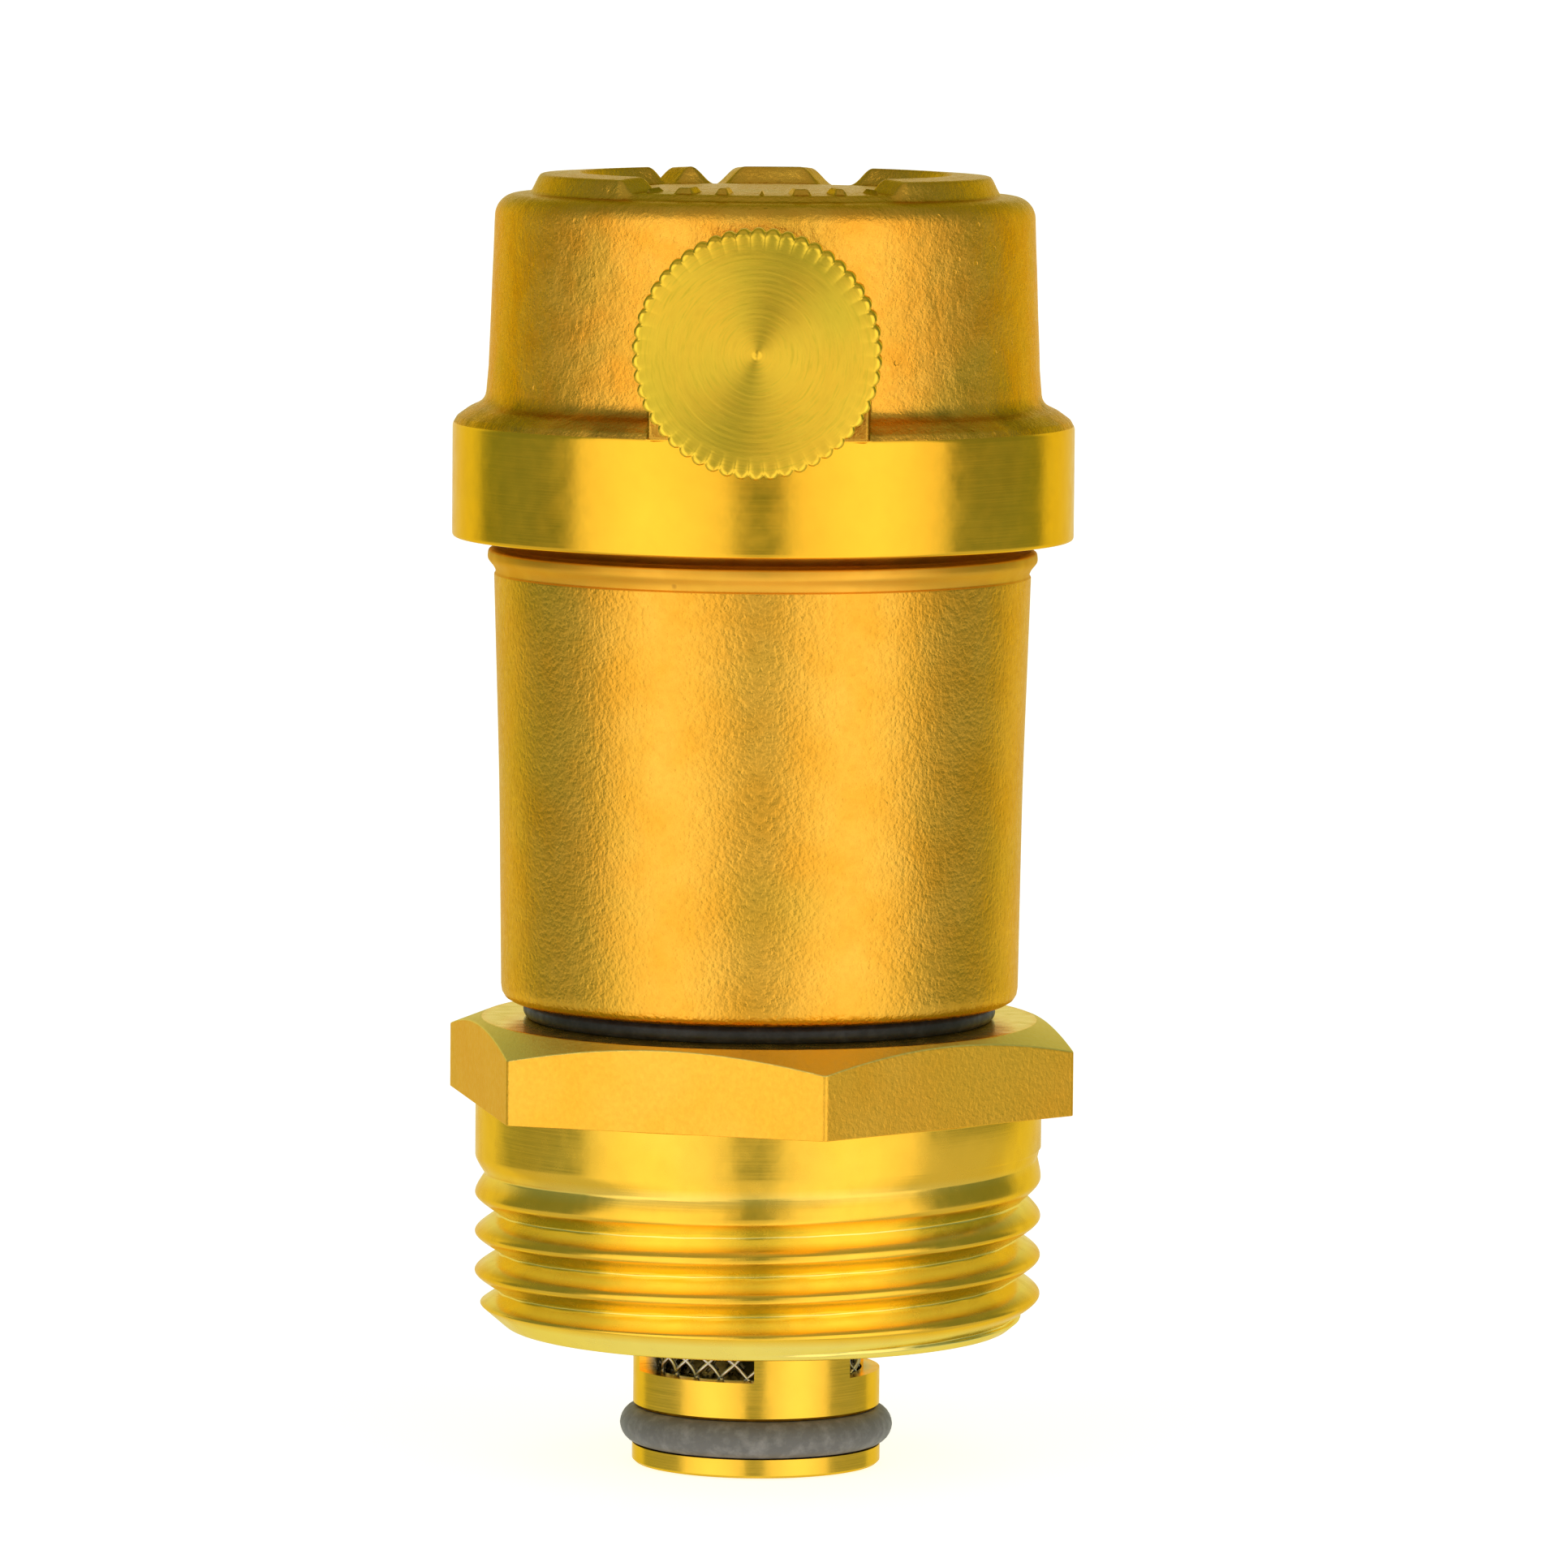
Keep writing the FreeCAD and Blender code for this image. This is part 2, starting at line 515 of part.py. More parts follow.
def nozzle_washer():
    top = BOSS_FACE + WASHER_THICKNESS
    hole = cylinder(NOZZLE_RADIUS + RUNNING_GAP, BOSS_FACE, top)
    return outward(cylinder(WASHER_RADIUS, BOSS_FACE, top).cut(hole))


def cap_seal():
    bottom = NOZZLE_END + STATIC_GAP
    return outward(cylinder(CAP_SEAL_RADIUS, bottom, bottom + CAP_SEAL_THICKNESS))


def vent_cap():
    """Knurled knob that screws onto the nozzle and closes it."""
    points = []
    tooth = ((0.0, KNOB_RADIUS), (0.22, KNOB_RADIUS), (0.61, KNOB_RADIUS - KNOB_TOOTH_DEPTH))
    for i in range(KNOB_TEETH):
        for share, radius in tooth:
            angle = 2 * math.pi * (i + share) / KNOB_TEETH
            points.append((radius * math.cos(angle), radius * math.sin(angle)))
    knurl = polygon_prism(points, KNOB_BACK, KNOB_FRONT)
    rim = KNOB_RADIUS + 0.1
    envelope = lathe((0, KNOB_BACK), (rim - KNOB_BEVEL, KNOB_BACK), (rim, KNOB_BACK + KNOB_BEVEL),
                     (rim, KNOB_FRONT - KNOB_BEVEL), (rim - KNOB_BEVEL, KNOB_FRONT), (0, KNOB_FRONT))
    depth = NOZZLE_END + CAP_SEAL_THICKNESS + 2 * STATIC_GAP
    bore = cylinder(NOZZLE_RADIUS + RUNNING_GAP, KNOB_BACK - 1, depth)
    return outward(knurl.common(envelope).cut(bore))


def float_shell():
    inner = FLOAT_RADIUS - FLOAT_WALL
    floor = FLOAT_BOTTOM + FLOAT_WALL
    bend = FLOAT_CORNER * (1 - math.sqrt(0.5))
    return lathe((0, FLOAT_BOTTOM), (FLOAT_RADIUS - FLOAT_CORNER, FLOAT_BOTTOM),
                 ((FLOAT_RADIUS - bend, FLOAT_BOTTOM + bend), (FLOAT_RADIUS, FLOAT_BOTTOM + FLOAT_CORNER)),
                 (FLOAT_RADIUS, FLOAT_JOIN), (inner, FLOAT_JOIN), (inner, floor + FLOAT_CORNER),
                 (inner - FLOAT_CORNER, floor), (0, floor))


def hook_height():
    """Height of the float's hook pin with the lever open, half its swing below level."""
    return PIVOT_HEIGHT - PIVOT_OUT * math.tan(math.radians(0.5 * LEVER_SWING))


def float_cap():
    """Lid of the float, with the stem that carries the hook pin."""
    plug = FLOAT_RADIUS - FLOAT_WALL - STATIC_GAP
    stem_top = hook_height() + 1.0
    lid = lathe((0, FLOAT_JOIN - 0.9), (plug, FLOAT_JOIN - 0.9), (plug, FLOAT_JOIN + STATIC_GAP),
                (FLOAT_RADIUS, FLOAT_JOIN + STATIC_GAP), (FLOAT_RADIUS, FLOAT_RIM),
                ((0.5 * FLOAT_RADIUS, FLOAT_CROWN - 0.3), (2 * STEM_RADIUS, FLOAT_CROWN)),
                (STEM_RADIUS, FLOAT_CROWN + 0.8), (STEM_RADIUS, stem_top), (0, stem_top))
    hole = Part.makeCylinder(HOOK_PIN_RADIUS + STATIC_GAP, 8, Vector(-4, 0, hook_height()), X_AXIS)
    return lid.cut(hole)


def float_hook_pin():
    return across(HOOK_PIN_RADIUS, HOOK_PIN_LENGTH, 0, hook_height())


def pivot():
    return Vector(0, -PIVOT_OUT, PIVOT_HEIGHT)


def swing_open(shape):
    """Turn a lever piece that was made in the closed position back to the open one."""
    shape.rotate(pivot(), X_AXIS, -LEVER_SWING)
    return shape


def pad_face():
    """How far out the rubber pad's face lies when the valve is closed."""
    return NOZZLE_TIP - 0.03


def plate_face():
    return pad_face() - PAD_THICKNESS


def across(radius, length, out, height):
    """Cylinder along X, centred on the vent's middle plane."""
    return Part.makeCylinder(radius, length, Vector(-0.5 * length, -out, height), X_AXIS)


def float_lever():
    """Bell crank: a slotted fork for the float's hook pin, and an upright plate for the pad."""
    hub = across(LEVER_HUB_RADIUS, LEVER_HUB_LENGTH, PIVOT_OUT, PIVOT_HEIGHT)
    half = 0.5 * LEVER_PLATE_WIDTH
    face = plate_face()
    plate = block((-half, half), (-face, -face + LEVER_PLATE_THICKNESS), (PIVOT_HEIGHT, LEVER_PLATE_TOP))
    lever = hub.fuse(plate)
    reach = PIVOT_OUT / math.cos(math.radians(0.5 * LEVER_SWING))
    for side in (-1, 1):
        near = sorted((side * LEVER_ARM_INNER, side * (LEVER_ARM_INNER + LEVER_ARM_THICKNESS)))
        tall = 0.5 * LEVER_ARM_HEIGHT
        arm = block(near, (-PIVOT_OUT, -PIVOT_OUT + reach + LEVER_ARM_OVERHANG),
                    (PIVOT_HEIGHT - tall, PIVOT_HEIGHT + tall))
        middle = -PIVOT_OUT + reach
        slot = block((near[0] - 1, near[1] + 1), (middle - 0.5 * SLOT_LENGTH, middle + 0.5 * SLOT_LENGTH),
                     (PIVOT_HEIGHT - 0.5 * SLOT_HEIGHT, PIVOT_HEIGHT + 0.5 * SLOT_HEIGHT))
        arm = arm.cut(slot)
        arm.rotate(pivot(), X_AXIS, 0.5 * LEVER_SWING)
        lever = lever.fuse(arm)
    bore = across(LEVER_PIN_RADIUS + RUNNING_GAP, LEVER_HUB_LENGTH + 2, PIVOT_OUT, PIVOT_HEIGHT)
    stem_hole = outward(cylinder(PAD_STEM_RADIUS + STATIC_GAP, face - 3, face + 1))
    return swing_open(lever.cut(bore).cut(stem_hole))


def valve_pad():
    """Rubber pad with a stem that is pulled through the lever's plate."""
    face = plate_face()
    back = face - LEVER_PLATE_THICKNESS
    pad = lathe((0, back - 0.6), (PAD_STEM_RADIUS, back - 0.6), (PAD_STEM_RADIUS, face + STATIC_GAP),
                (PAD_RADIUS, face + STATIC_GAP), (PAD_RADIUS, pad_face() - 0.3),
                (PAD_RADIUS - 0.3, pad_face()), (0, pad_face()))
    return swing_open(outward(pad))


def lever_pin():
    return across(LEVER_PIN_RADIUS, LEVER_PIN_LENGTH, PIVOT_OUT, PIVOT_HEIGHT)


def lever_bracket():
    """Plate clipped onto the nozzle inside the cover, with two ears for the lever's pin."""
    half = 0.5 * BRACKET_WIDTH
    back = -INNER_PAD_FACE
    front = back + BRACKET_THICKNESS
    bracket = block((-half, half), (back, front), (INNER_PAD_BOTTOM, BRACKET_TOP))
    for side in (-1, 1):
        near = sorted((side * half, side * (half - EAR_THICKNESS)))
        ear = block(near, (back, -EAR_END), (EAR_BOTTOM, EAR_TOP))
        bracket = bracket.fuse(ear)
    hole = outward(cylinder(NOZZLE_BARREL_RADIUS + STATIC_GAP, INNER_PAD_FACE - 3, INNER_PAD_FACE + 1))
    pin_hole = across(LEVER_PIN_RADIUS + STATIC_GAP, BRACKET_WIDTH + 2, PIVOT_OUT, PIVOT_HEIGHT)
    return bracket.cut(hole).cut(pin_hole)


def bracket_clip():
    """Open retaining ring in the nozzle's groove."""
    outer = INNER_PAD_FACE - BRACKET_THICKNESS
    inner = outer - CLIP_THICKNESS
    ring = cylinder(CLIP_RADIUS, inner, outer).cut(cylinder(CLIP_GROOVE_RADIUS + STATIC_GAP, inner, outer))
    mouth = block((-1.5, 1.5), (0, CLIP_RADIUS + 1), (inner - 1, outer + 1))
    return outward(ring.cut(mouth))


PIECES = (
    adapter,
    shutoff_spool,
    spool_o_ring,
    strainer_mesh,
    spool_spring,
    body_gasket,
    body,
    cover,
    cover_seal,
    vent_nozzle,
    nozzle_washer,
    cap_seal,
    vent_cap,
    float_shell,
    float_cap,
    float_hook_pin,
    float_lever,
    valve_pad,
    lever_pin,
    lever_bracket,
    bracket_clip,
)


def main():
    os.makedirs("parts", exist_ok=True)
    for piece in PIECES:
        shape = piece()
        name = piece.__name__
        shape.exportStep("parts/" + name + ".step")
        box = shape.BoundBox
        print(f"{name:16} solids {len(shape.Solids)} valid {shape.isValid()} volume {shape.Volume:9.2f} "
              f"z {box.ZMin:7.2f} {box.ZMax:7.2f}")


main()
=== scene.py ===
"""Brass automatic air vent: its visual meshes, its materials, and a plain studio around it.

Shapes are worked out in millimetres about the vent's axis, and meshes are made in metres. Most pieces are
outlines turned about that axis, with a column of points for each angle, so that a hexagon, a thread, a
knurl or a boss is a change of radius from column to column.
"""

import math

import bpy
import numpy as np
from mathutils import Matrix, Vector


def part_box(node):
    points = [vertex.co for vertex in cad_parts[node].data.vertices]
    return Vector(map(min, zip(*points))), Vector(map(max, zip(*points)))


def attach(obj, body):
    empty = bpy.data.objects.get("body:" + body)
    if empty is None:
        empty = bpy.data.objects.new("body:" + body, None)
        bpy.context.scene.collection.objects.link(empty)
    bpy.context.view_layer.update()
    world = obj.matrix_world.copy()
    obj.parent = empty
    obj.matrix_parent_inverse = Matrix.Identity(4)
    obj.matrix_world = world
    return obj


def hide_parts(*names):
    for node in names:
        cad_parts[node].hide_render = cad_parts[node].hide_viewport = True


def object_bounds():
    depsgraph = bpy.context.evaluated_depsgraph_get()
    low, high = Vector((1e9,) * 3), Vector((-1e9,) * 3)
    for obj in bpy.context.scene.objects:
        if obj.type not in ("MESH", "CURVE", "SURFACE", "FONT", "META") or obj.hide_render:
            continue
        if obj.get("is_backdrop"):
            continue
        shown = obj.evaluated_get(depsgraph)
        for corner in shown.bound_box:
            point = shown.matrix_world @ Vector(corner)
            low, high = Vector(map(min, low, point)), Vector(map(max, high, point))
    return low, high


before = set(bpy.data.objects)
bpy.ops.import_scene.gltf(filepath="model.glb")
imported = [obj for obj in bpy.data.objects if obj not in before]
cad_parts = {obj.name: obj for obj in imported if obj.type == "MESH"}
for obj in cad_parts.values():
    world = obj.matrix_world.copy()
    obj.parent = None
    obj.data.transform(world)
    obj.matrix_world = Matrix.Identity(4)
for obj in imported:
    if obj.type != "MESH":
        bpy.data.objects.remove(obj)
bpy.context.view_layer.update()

MM = 0.001
TURN = 2 * math.pi
CORNER_STEPS = (0.0, 0.25, 0.5, 0.75, 1.0)      # points that round a corner
ROWS_PER_CORNER = len(CORNER_STEPS) + 2
SUPPORT = 1.35                                  # where the rows beside a rounded corner lie, in softnesses
COLUMNS = 288
FRONT = -math.pi / 2                            # the knob's direction, as an angle round from +X

# Adapter
HEX_FLATS = 33.5
HEX_CORNER_ANGLE = math.radians(-77.6)
HEX_CORNER_ROUNDING = 0.35
HEX_CHAMFER_RADIUS = 16.3
HEX_CORNER_DROP = 1.2
PIPE_RADIUS = 33.249 / 2
PIPE_DEPTH = 1.479
PIPE_PITCH = 2.309
PIPE_CREST = -5.45                              # height of a crest on the -X side
COLLAR_HEIGHT = 2.4
RUNOUT_END = -2.5                               # height where the groove has run out
RUNOUT_LENGTH = 4.5                             # height over which it grows shallower
THREAD_ROUNDING = 0.35                          # of half a pitch, about where a crest's rounding ends
PIPE_ROW_STEP = 0.085
ADAPTER_FOOT_RADIUS = 14.75
ADAPTER_FOOT_CHAMFER = 1.6
JOINT_BORE = 10.53
SPRING_CHAMBER_RADIUS = 9.6
SPRING_SHOULDER = -10.0
SPOOL_BORE = 7.35
SEAT_CHAMFER = 1.2

# Body
SPIGOT_RADIUS = 20.955 / 2
SPIGOT_DEPTH = 1.162
SPIGOT_PITCH = 1.814
SPIGOT_BORE = 6.5
SPIGOT_ROW_STEP = 0.1
BODY_FOOT_RADIUS = 15.15
BODY_MIDDLE = (15.33, 19.0)
BODY_CAST_TOP = (15.7, 31.0)
BODY_LIP_RADIUS = 16.1
BODY_LIP_HEIGHT = 32.1
BODY_SHOULDER = 32.6
BODY_CHAMBER_RADIUS = 13.4
BODY_CHAMBER_FLOOR = 8.2
NECK_RADIUS = 15.95

# Cover
BAND_TOP = 39.75
COVER_LEDGE = (17.2, 40.72)
COVER_FOOT = (16.25, 41.15)
COVER_WALL_RADIUS = 15.76
COVER_WALL_DRAFT = 0.0375                       # radius lost for each millimetre of height
COVER_WALL_FOOT = 43.0
COVER_WALL_ROWS = ((43.1, 49.15, 0.15), (49.2, 51.8, 0.07))     # first height, end and step
COVER_UNEVENNESS = 0.035
COVER_EDGE_HEIGHT = 53.2
COVER_EDGE_RADIUS = 1.3
COVER_DOME_RISE = 0.5
COVER_DOME_UNEVENNESS = 0.02
COVER_SKIRT_BORE = 16.05
COVER_CHAMBER = (13.6, 50.6)
RELIEF_HEIGHT = 1.05
RELIEF_RADII = (10.2, 13.8)
RELIEF_ARCS = ((-146, -34), (-31, -18.5), (-13.5, 16), (28, 146))      # degrees clockwise from +Y
RELIEF_SLOPE = 0.75
RELIEF_END_SLOPE = 1.5
RELIEF_BLOCKS = 9
RELIEF_BLOCK_SPAN = 84.0
RELIEF_BLOCK_HALVES = (1.05, 0.66)              # half its length outward, half its width
RELIEF_BLOCK_RADIUS = 11.9
RELIEF_BLOCK_HEIGHT = 0.62                      # share of the relief's height
RELIEF_BLOCK_WIDTHS = (1.0, 0.6, 1.25)          # shares of the width, over and over along the strip
RELIEF_STRIP = (41.0, 1.75, 0.3)                # degrees either side, half width, share of the height

# Side outlet
OUTLET_HEIGHT = 45.1
BOSS_HALF_WIDTH = 6.28
BOSS_FACE = 17.4
BOSS_BLEND = 0.3
BOSS_REACH = 1.2                                # angle from the front beyond which there is no boss
NOZZLE_HOLE = 4.05
KNOB_RADIUS = 7.02
KNOB_TEETH = 50
KNOB_TOOTH_DEPTH = 0.24
KNOB_FACE_RADIUS = 5.7
KNOB_FACE_BEVEL = 0.26
KNOB_RIM_DROP = 0.13                            # how far the rim lies behind the foremost plane
KNOB_RIB_DEPTH = 0.022
KNOB_RIB_RISE = 0.045
KNOB_FACE_DROP = 0.085
KNOB_RING_DEPTH = 0.007
KNOB_PIP_HEIGHT = 0.07
KNOB_BACK_BEVEL = 0.45
KNOB_FLOOR_GAP = 0.05                           # from the seal to the floor of the knob's bore

# Strainer cloth
WIRE_RADIUS = 0.13
WIRE_COUNT = 23
WIRE_SIDES = 6
WIRE_STEPS = 16                                 # points along a wire for each opening of the cloth


def span(node):
    """Lowest and highest corners of a CAD node at rest, in millimetres."""
    low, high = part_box(node)
    return low / MM, high / MM


# --- Outlines -----------------------------------------------------------------------------------------

def even_angles(columns=COLUMNS):
    return np.arange(columns) * TURN / columns


def direction(vectors):
    return vectors / np.maximum(np.linalg.norm(vectors, axis=0), 1e-9)


def soften(corners, angles, closed):
    """Rows of points along an outline of (radius, height, softness) corners.

    Radius and height may vary from column to column. Softness is how far back along both sides a corner is
    rounded. The rows beside a rounded corner keep the shading of long faces flat.
    """
    flat = np.zeros(len(angles))
    spots = [np.array([flat + radius, flat + height]) for radius, height, _ in corners]
    rows = []
    for i, (_, _, softness) in enumerate(corners):
        here = spots[i]
        if softness == 0 or (not closed and i in (0, len(corners) - 1)):
            rows.append(here)
            continue
        back = direction(spots[i - 1] - here) * softness
        ahead = direction(spots[(i + 1) % len(corners)] - here) * softness
        rows.append(here + SUPPORT * back)
        for t in CORNER_STEPS:
            rows.append(here + (1 - t) ** 2 * back + t ** 2 * ahead)
        rows.append(here + SUPPORT * ahead)
    return np.array(rows)


def pairs(radius, height):
    """Rows from a table of radii, with a height for each row."""
    return np.stack([radius, height + np.zeros_like(radius)], axis=1)


def smooth_step(x):
    x = np.clip(x, 0, 1)
    return x * x * (3 - 2 * x)


def soft_smaller(a, b, width):
    share = np.clip(0.5 + 0.5 * (b - a) / width, 0, 1)
    return b + (a - b) * share - width * share * (1 - share)


def soft_larger(a, b, width):
    return -soft_smaller(-a, -b, width)


def thread_turns(pitch, crest_height, heights, angles):
    """How many turns each point lies above a crest of a right-hand thread."""
    return (heights[:, None] - crest_height) / pitch - angles / TURN


def thread(radius, depth, turns, strength):
    """Radii of a thread with rounded crests and sharp roots.

    A strength below 1 makes it shallower, and 0 leaves it out.
    """
    from_crest = 2 * np.abs(turns - np.round(turns))
    groove = np.sqrt(from_crest ** 2 + THREAD_ROUNDING ** 2) - THREAD_ROUNDING
    return radius - depth * strength * groove / (math.sqrt(1 + THREAD_ROUNDING ** 2) - THREAD_ROUNDING)


def waviness(angles, heights, seed):
    """Gentle unevenness of a casting, from -1 to 1, as a sum of a few waves."""
    draw = np.random.default_rng(seed)
    total = 0
    for _ in range(7):
        turns = draw.integers(1, 9)
        rise = draw.uniform(0.1, 0.9)
        start, sway = draw.uniform(0, TURN, 2)
        total = total + np.sin(turns * angles + start + rise * heights) * np.cos(rise * heights + sway)
    return total / 7


# --- Meshes -------------------------------------------------------------------------------------------

def mesh_piece(name, vertices, faces):
    mesh = bpy.data.meshes.new(name)
    mesh.from_pydata(vertices, [], faces)
    mesh.validate()
    mesh.polygons.foreach_set("use_smooth", np.ones(len(mesh.polygons), bool))
    piece = bpy.data.objects.new(name, mesh)
    bpy.context.scene.collection.objects.link(piece)
    return piece


def turned(name, rows, angles, closed=True):
    """Mesh of outline rows turned about Z: up the outside and down the inside of a closed outline.

    An open outline begins and ends on the axis.
    """
    radius, height = rows[:, 0], rows[:, 1]
    count, columns = radius.shape
    table = np.stack([radius * np.cos(angles), radius * np.sin(angles), height], axis=-1) * MM
    ahead = np.roll(np.arange(columns), -1)
    place = np.arange(count * columns).reshape(count, columns)
    faces = []
    last = count if closed else count - 1
    for i in range(last):
        low, high = place[i], place[(i + 1) % count]
        if not closed and i == 0:
            faces += np.stack([np.full(columns, low[0]), high[ahead], high], axis=-1).tolist()
        elif not closed and i == last - 1:
            faces += np.stack([low, low[ahead], np.full(columns, high[0])], axis=-1).tolist()
        else:
            faces += np.stack([low, low[ahead], high[ahead], high], axis=-1).tolist()
    piece = mesh_piece(name, table.reshape(-1, 3), faces)
    drop_loose_points(piece.data)
    return piece


def drop_loose_points(mesh):
    """A pole is one point, so the rest of its row is left over."""
    used = np.zeros(len(mesh.vertices), bool)
    corners = np.zeros(len(mesh.loops), np.int32)
    mesh.loops.foreach_get("vertex_index", corners)
    used[corners] = True
    if used.all():
        return
    keep = np.cumsum(used) - 1
    points = np.zeros(len(mesh.vertices) * 3, np.float32)
    mesh.vertices.foreach_get("co", points)
    faces = [[int(keep[v]) for v in face.vertices] for face in mesh.polygons]
    mesh.clear_geometry()
    mesh.from_pydata(points.reshape(-1, 3)[used], [], faces)
    mesh.polygons.foreach_set("use_smooth", np.ones(len(mesh.polygons), bool))


def lay_outward(piece):
    """Lay a piece made about Z on the outlet's axis, so that its height becomes the distance outward."""
    turn = Matrix.Rotation(math.pi / 2, 4, "X")
    piece.data.transform(Matrix.Translation((0, 0, OUTLET_HEIGHT * MM)) @ turn)


def finish_piece(piece, node, body, materials, pick=None):
    """Materials, slot and body of a piece that stands for a CAD node. Pick chooses a material per face."""
    for material in materials:
        piece.data.materials.append(material)
    if pick:
        centres = np.zeros(len(piece.data.polygons) * 3, np.float32)
        piece.data.polygons.foreach_get("center", centres)
        chosen = pick(centres.reshape(-1, 3) / MM)
        piece.data.polygons.foreach_set("material_index", chosen.astype(np.int32))
    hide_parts(node)
    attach(piece, body)


# --- Materials ----------------------------------------------------------------------------------------

class NodeTree:
    """Nodes being put together, for a material or for the sky."""

    def __init__(self, owner):
        owner.use_nodes = True
        self.nodes = owner.node_tree.nodes
        self.links = owner.node_tree.links

    def feed(self, socket, value):
        """Link an output to the socket, or set the socket to a plain value."""
        if isinstance(value, bpy.types.NodeSocket):
            self.links.new(value, socket)
        else:
            socket.default_value = value

    def number(self, operation, a, b=0.0):
        node = self.nodes.new("ShaderNodeMath")
        node.operation = operation
        self.feed(node.inputs[0], a)
        self.feed(node.inputs[1], b)
        return node.outputs["Value"]

    def split(self, vector):
        """The X, Y and Z of a vector."""
        node = self.nodes.new("ShaderNodeSeparateXYZ")
        self.links.new(vector, node.inputs["Vector"])
        return [node.outputs[axis] for axis in "XYZ"]

    def length(self, vector):
        node = self.nodes.new("ShaderNodeVectorMath")
        node.operation = "LENGTH"
        self.links.new(vector, node.inputs[0])
        return node.outputs["Value"]

    def mix(self, share, first, second):
        node = self.nodes.new("ShaderNodeMix")
        node.data_type = "RGBA"
        self.feed(node.inputs["Factor"], share)
        for socket in node.inputs:
            if socket.type == "RGBA" and socket.name in "AB":
                self.feed(socket, first if socket.name == "A" else second)
        return next(output for output in node.outputs if output.type == "RGBA")


class Shader(NodeTree):
    """A material being put together around its Principled shader. Lengths are in millimetres."""

    def __init__(self, name, **values):
        self.material = bpy.data.materials.new(name)
        super().__init__(self.material)
        self.surface = self.nodes["Principled BSDF"]
        for socket, value in values.items():
            self.surface.inputs[socket.replace("_", " ")].default_value = value
        place = self.nodes.new("ShaderNodeTexCoord").outputs["Object"]
        self.place = self.vector("MULTIPLY", place, (1 / MM, 1 / MM, 1 / MM))
        self.relief = None

    def vector(self, operation, a, b):
        node = self.nodes.new("ShaderNodeVectorMath")
        node.operation = operation
        self.feed(node.inputs[0], a)
        self.feed(node.inputs[1], b)
        return node.outputs["Vector"]

    def between(self, value, start, end, low=0.0, high=1.0):
        """Value mapped from start..end to low..high, held at both ends."""
        node = self.nodes.new("ShaderNodeMapRange")
        self.feed(node.inputs["Value"], value)
        for socket, number in (("From Min", start), ("From Max", end), ("To Min", low), ("To Max", high)):
            node.inputs[socket].default_value = number
        return node.outputs["Result"]

    def noise(self, size, detail=3.0, stretch=(1, 1, 1), place=None, sharpness=0.5):
        """Noise with bumps of about the given size. Stretch makes them longer along an axis."""
        node = self.nodes.new("ShaderNodeTexNoise")
        scale = tuple(1 / (size * length) for length in stretch)
        self.feed(node.inputs["Vector"], self.vector("MULTIPLY", place or self.place, scale))
        node.inputs["Scale"].default_value = 1.0
        node.inputs["Detail"].default_value = detail
        node.inputs["Roughness"].default_value = sharpness
        return node.outputs["Fac"]

    def specks(self, spacing, size, share):
        """1 on round specks of the given size, on a share of the cells of a scattered grid."""
        node = self.nodes.new("ShaderNodeTexVoronoi")
        node.inputs["Scale"].default_value = 1.0
        self.feed(node.inputs["Vector"], self.vector("MULTIPLY", self.place, (1 / spacing,) * 3))
        near = self.between(node.outputs["Distance"], 0.5 * size / spacing, 0.8 * size / spacing, 1.0, 0.0)
        split = self.nodes.new("ShaderNodeSeparateColor")
        self.links.new(node.outputs["Color"], split.inputs["Color"])
        chosen = self.number("LESS_THAN", split.outputs["Red"], share)
        return self.number("MULTIPLY", near, chosen)

    def bump(self, height, depth):
        """Add relief of the given depth."""
        node = self.nodes.new("ShaderNodeBump")
        node.inputs["Distance"].default_value = depth * MM
        self.links.new(height, node.inputs["Height"])
        if self.relief:
            self.links.new(self.relief, node.inputs["Normal"])
        self.relief = node.outputs["Normal"]
        self.links.new(self.relief, self.surface.inputs["Normal"])

    def colour(self, value):
        self.feed(self.surface.inputs["Base Color"], value)

    def roughness(self, value):
        self.feed(self.surface.inputs["Roughness"], value)


def tone(red, green, blue):
    return (red, green, blue, 1.0)


TURNED_BRASS = (tone(0.97, 0.53, 0.035), tone(0.95, 0.49, 0.03), tone(0.88, 0.54, 0.04))
PIPE_BRASS = (tone(0.98, 0.58, 0.06), tone(0.96, 0.54, 0.045), tone(0.9, 0.57, 0.05))
# Painted highlight: brighter, yellower brass on the hexagon's upward faces and in the pipe thread's grooves.
PAINTED_HIGHLIGHT = tone(1.0, 0.78, 0.2)
FACED_BRASS = (tone(0.97, 0.62, 0.05), tone(0.97, 0.58, 0.045), tone(0.78, 0.6, 0.045))
HEXAGON_BRASS = (tone(0.98, 0.52, 0.055), tone(0.96, 0.48, 0.04), tone(0.86, 0.5, 0.045))
RING_BRASS = tone(0.62, 0.46, 0.03)
SMOOTH_CASTING = (tone(0.9, 0.47, 0.055), tone(0.86, 0.41, 0.035), tone(0.74, 0.44, 0.045))
ROUGH_CASTING = (tone(0.97, 0.48, 0.055), tone(0.94, 0.41, 0.035), tone(0.7, 0.44, 0.05))
# Painted shade: darker brass for the cover's top and for the body's neck under the cover's edge.
PAINTED_SHADE = tone(0.42, 0.29, 0.035)
# Painted shade along the cover's foot.
PAINTED_FOOT_SHADE = tone(0.2, 0.13, 0.02)
STAIN = tone(0.34, 0.12, 0.02)
# Painted shade inside the spool's bore.
PAINTED_BORE_SHADE = tone(0.3, 0.29, 0.25)
SHEEN = tone(0.95, 0.82, 0.4)
DULL_SHEEN = tone(0.9, 0.74, 0.3)

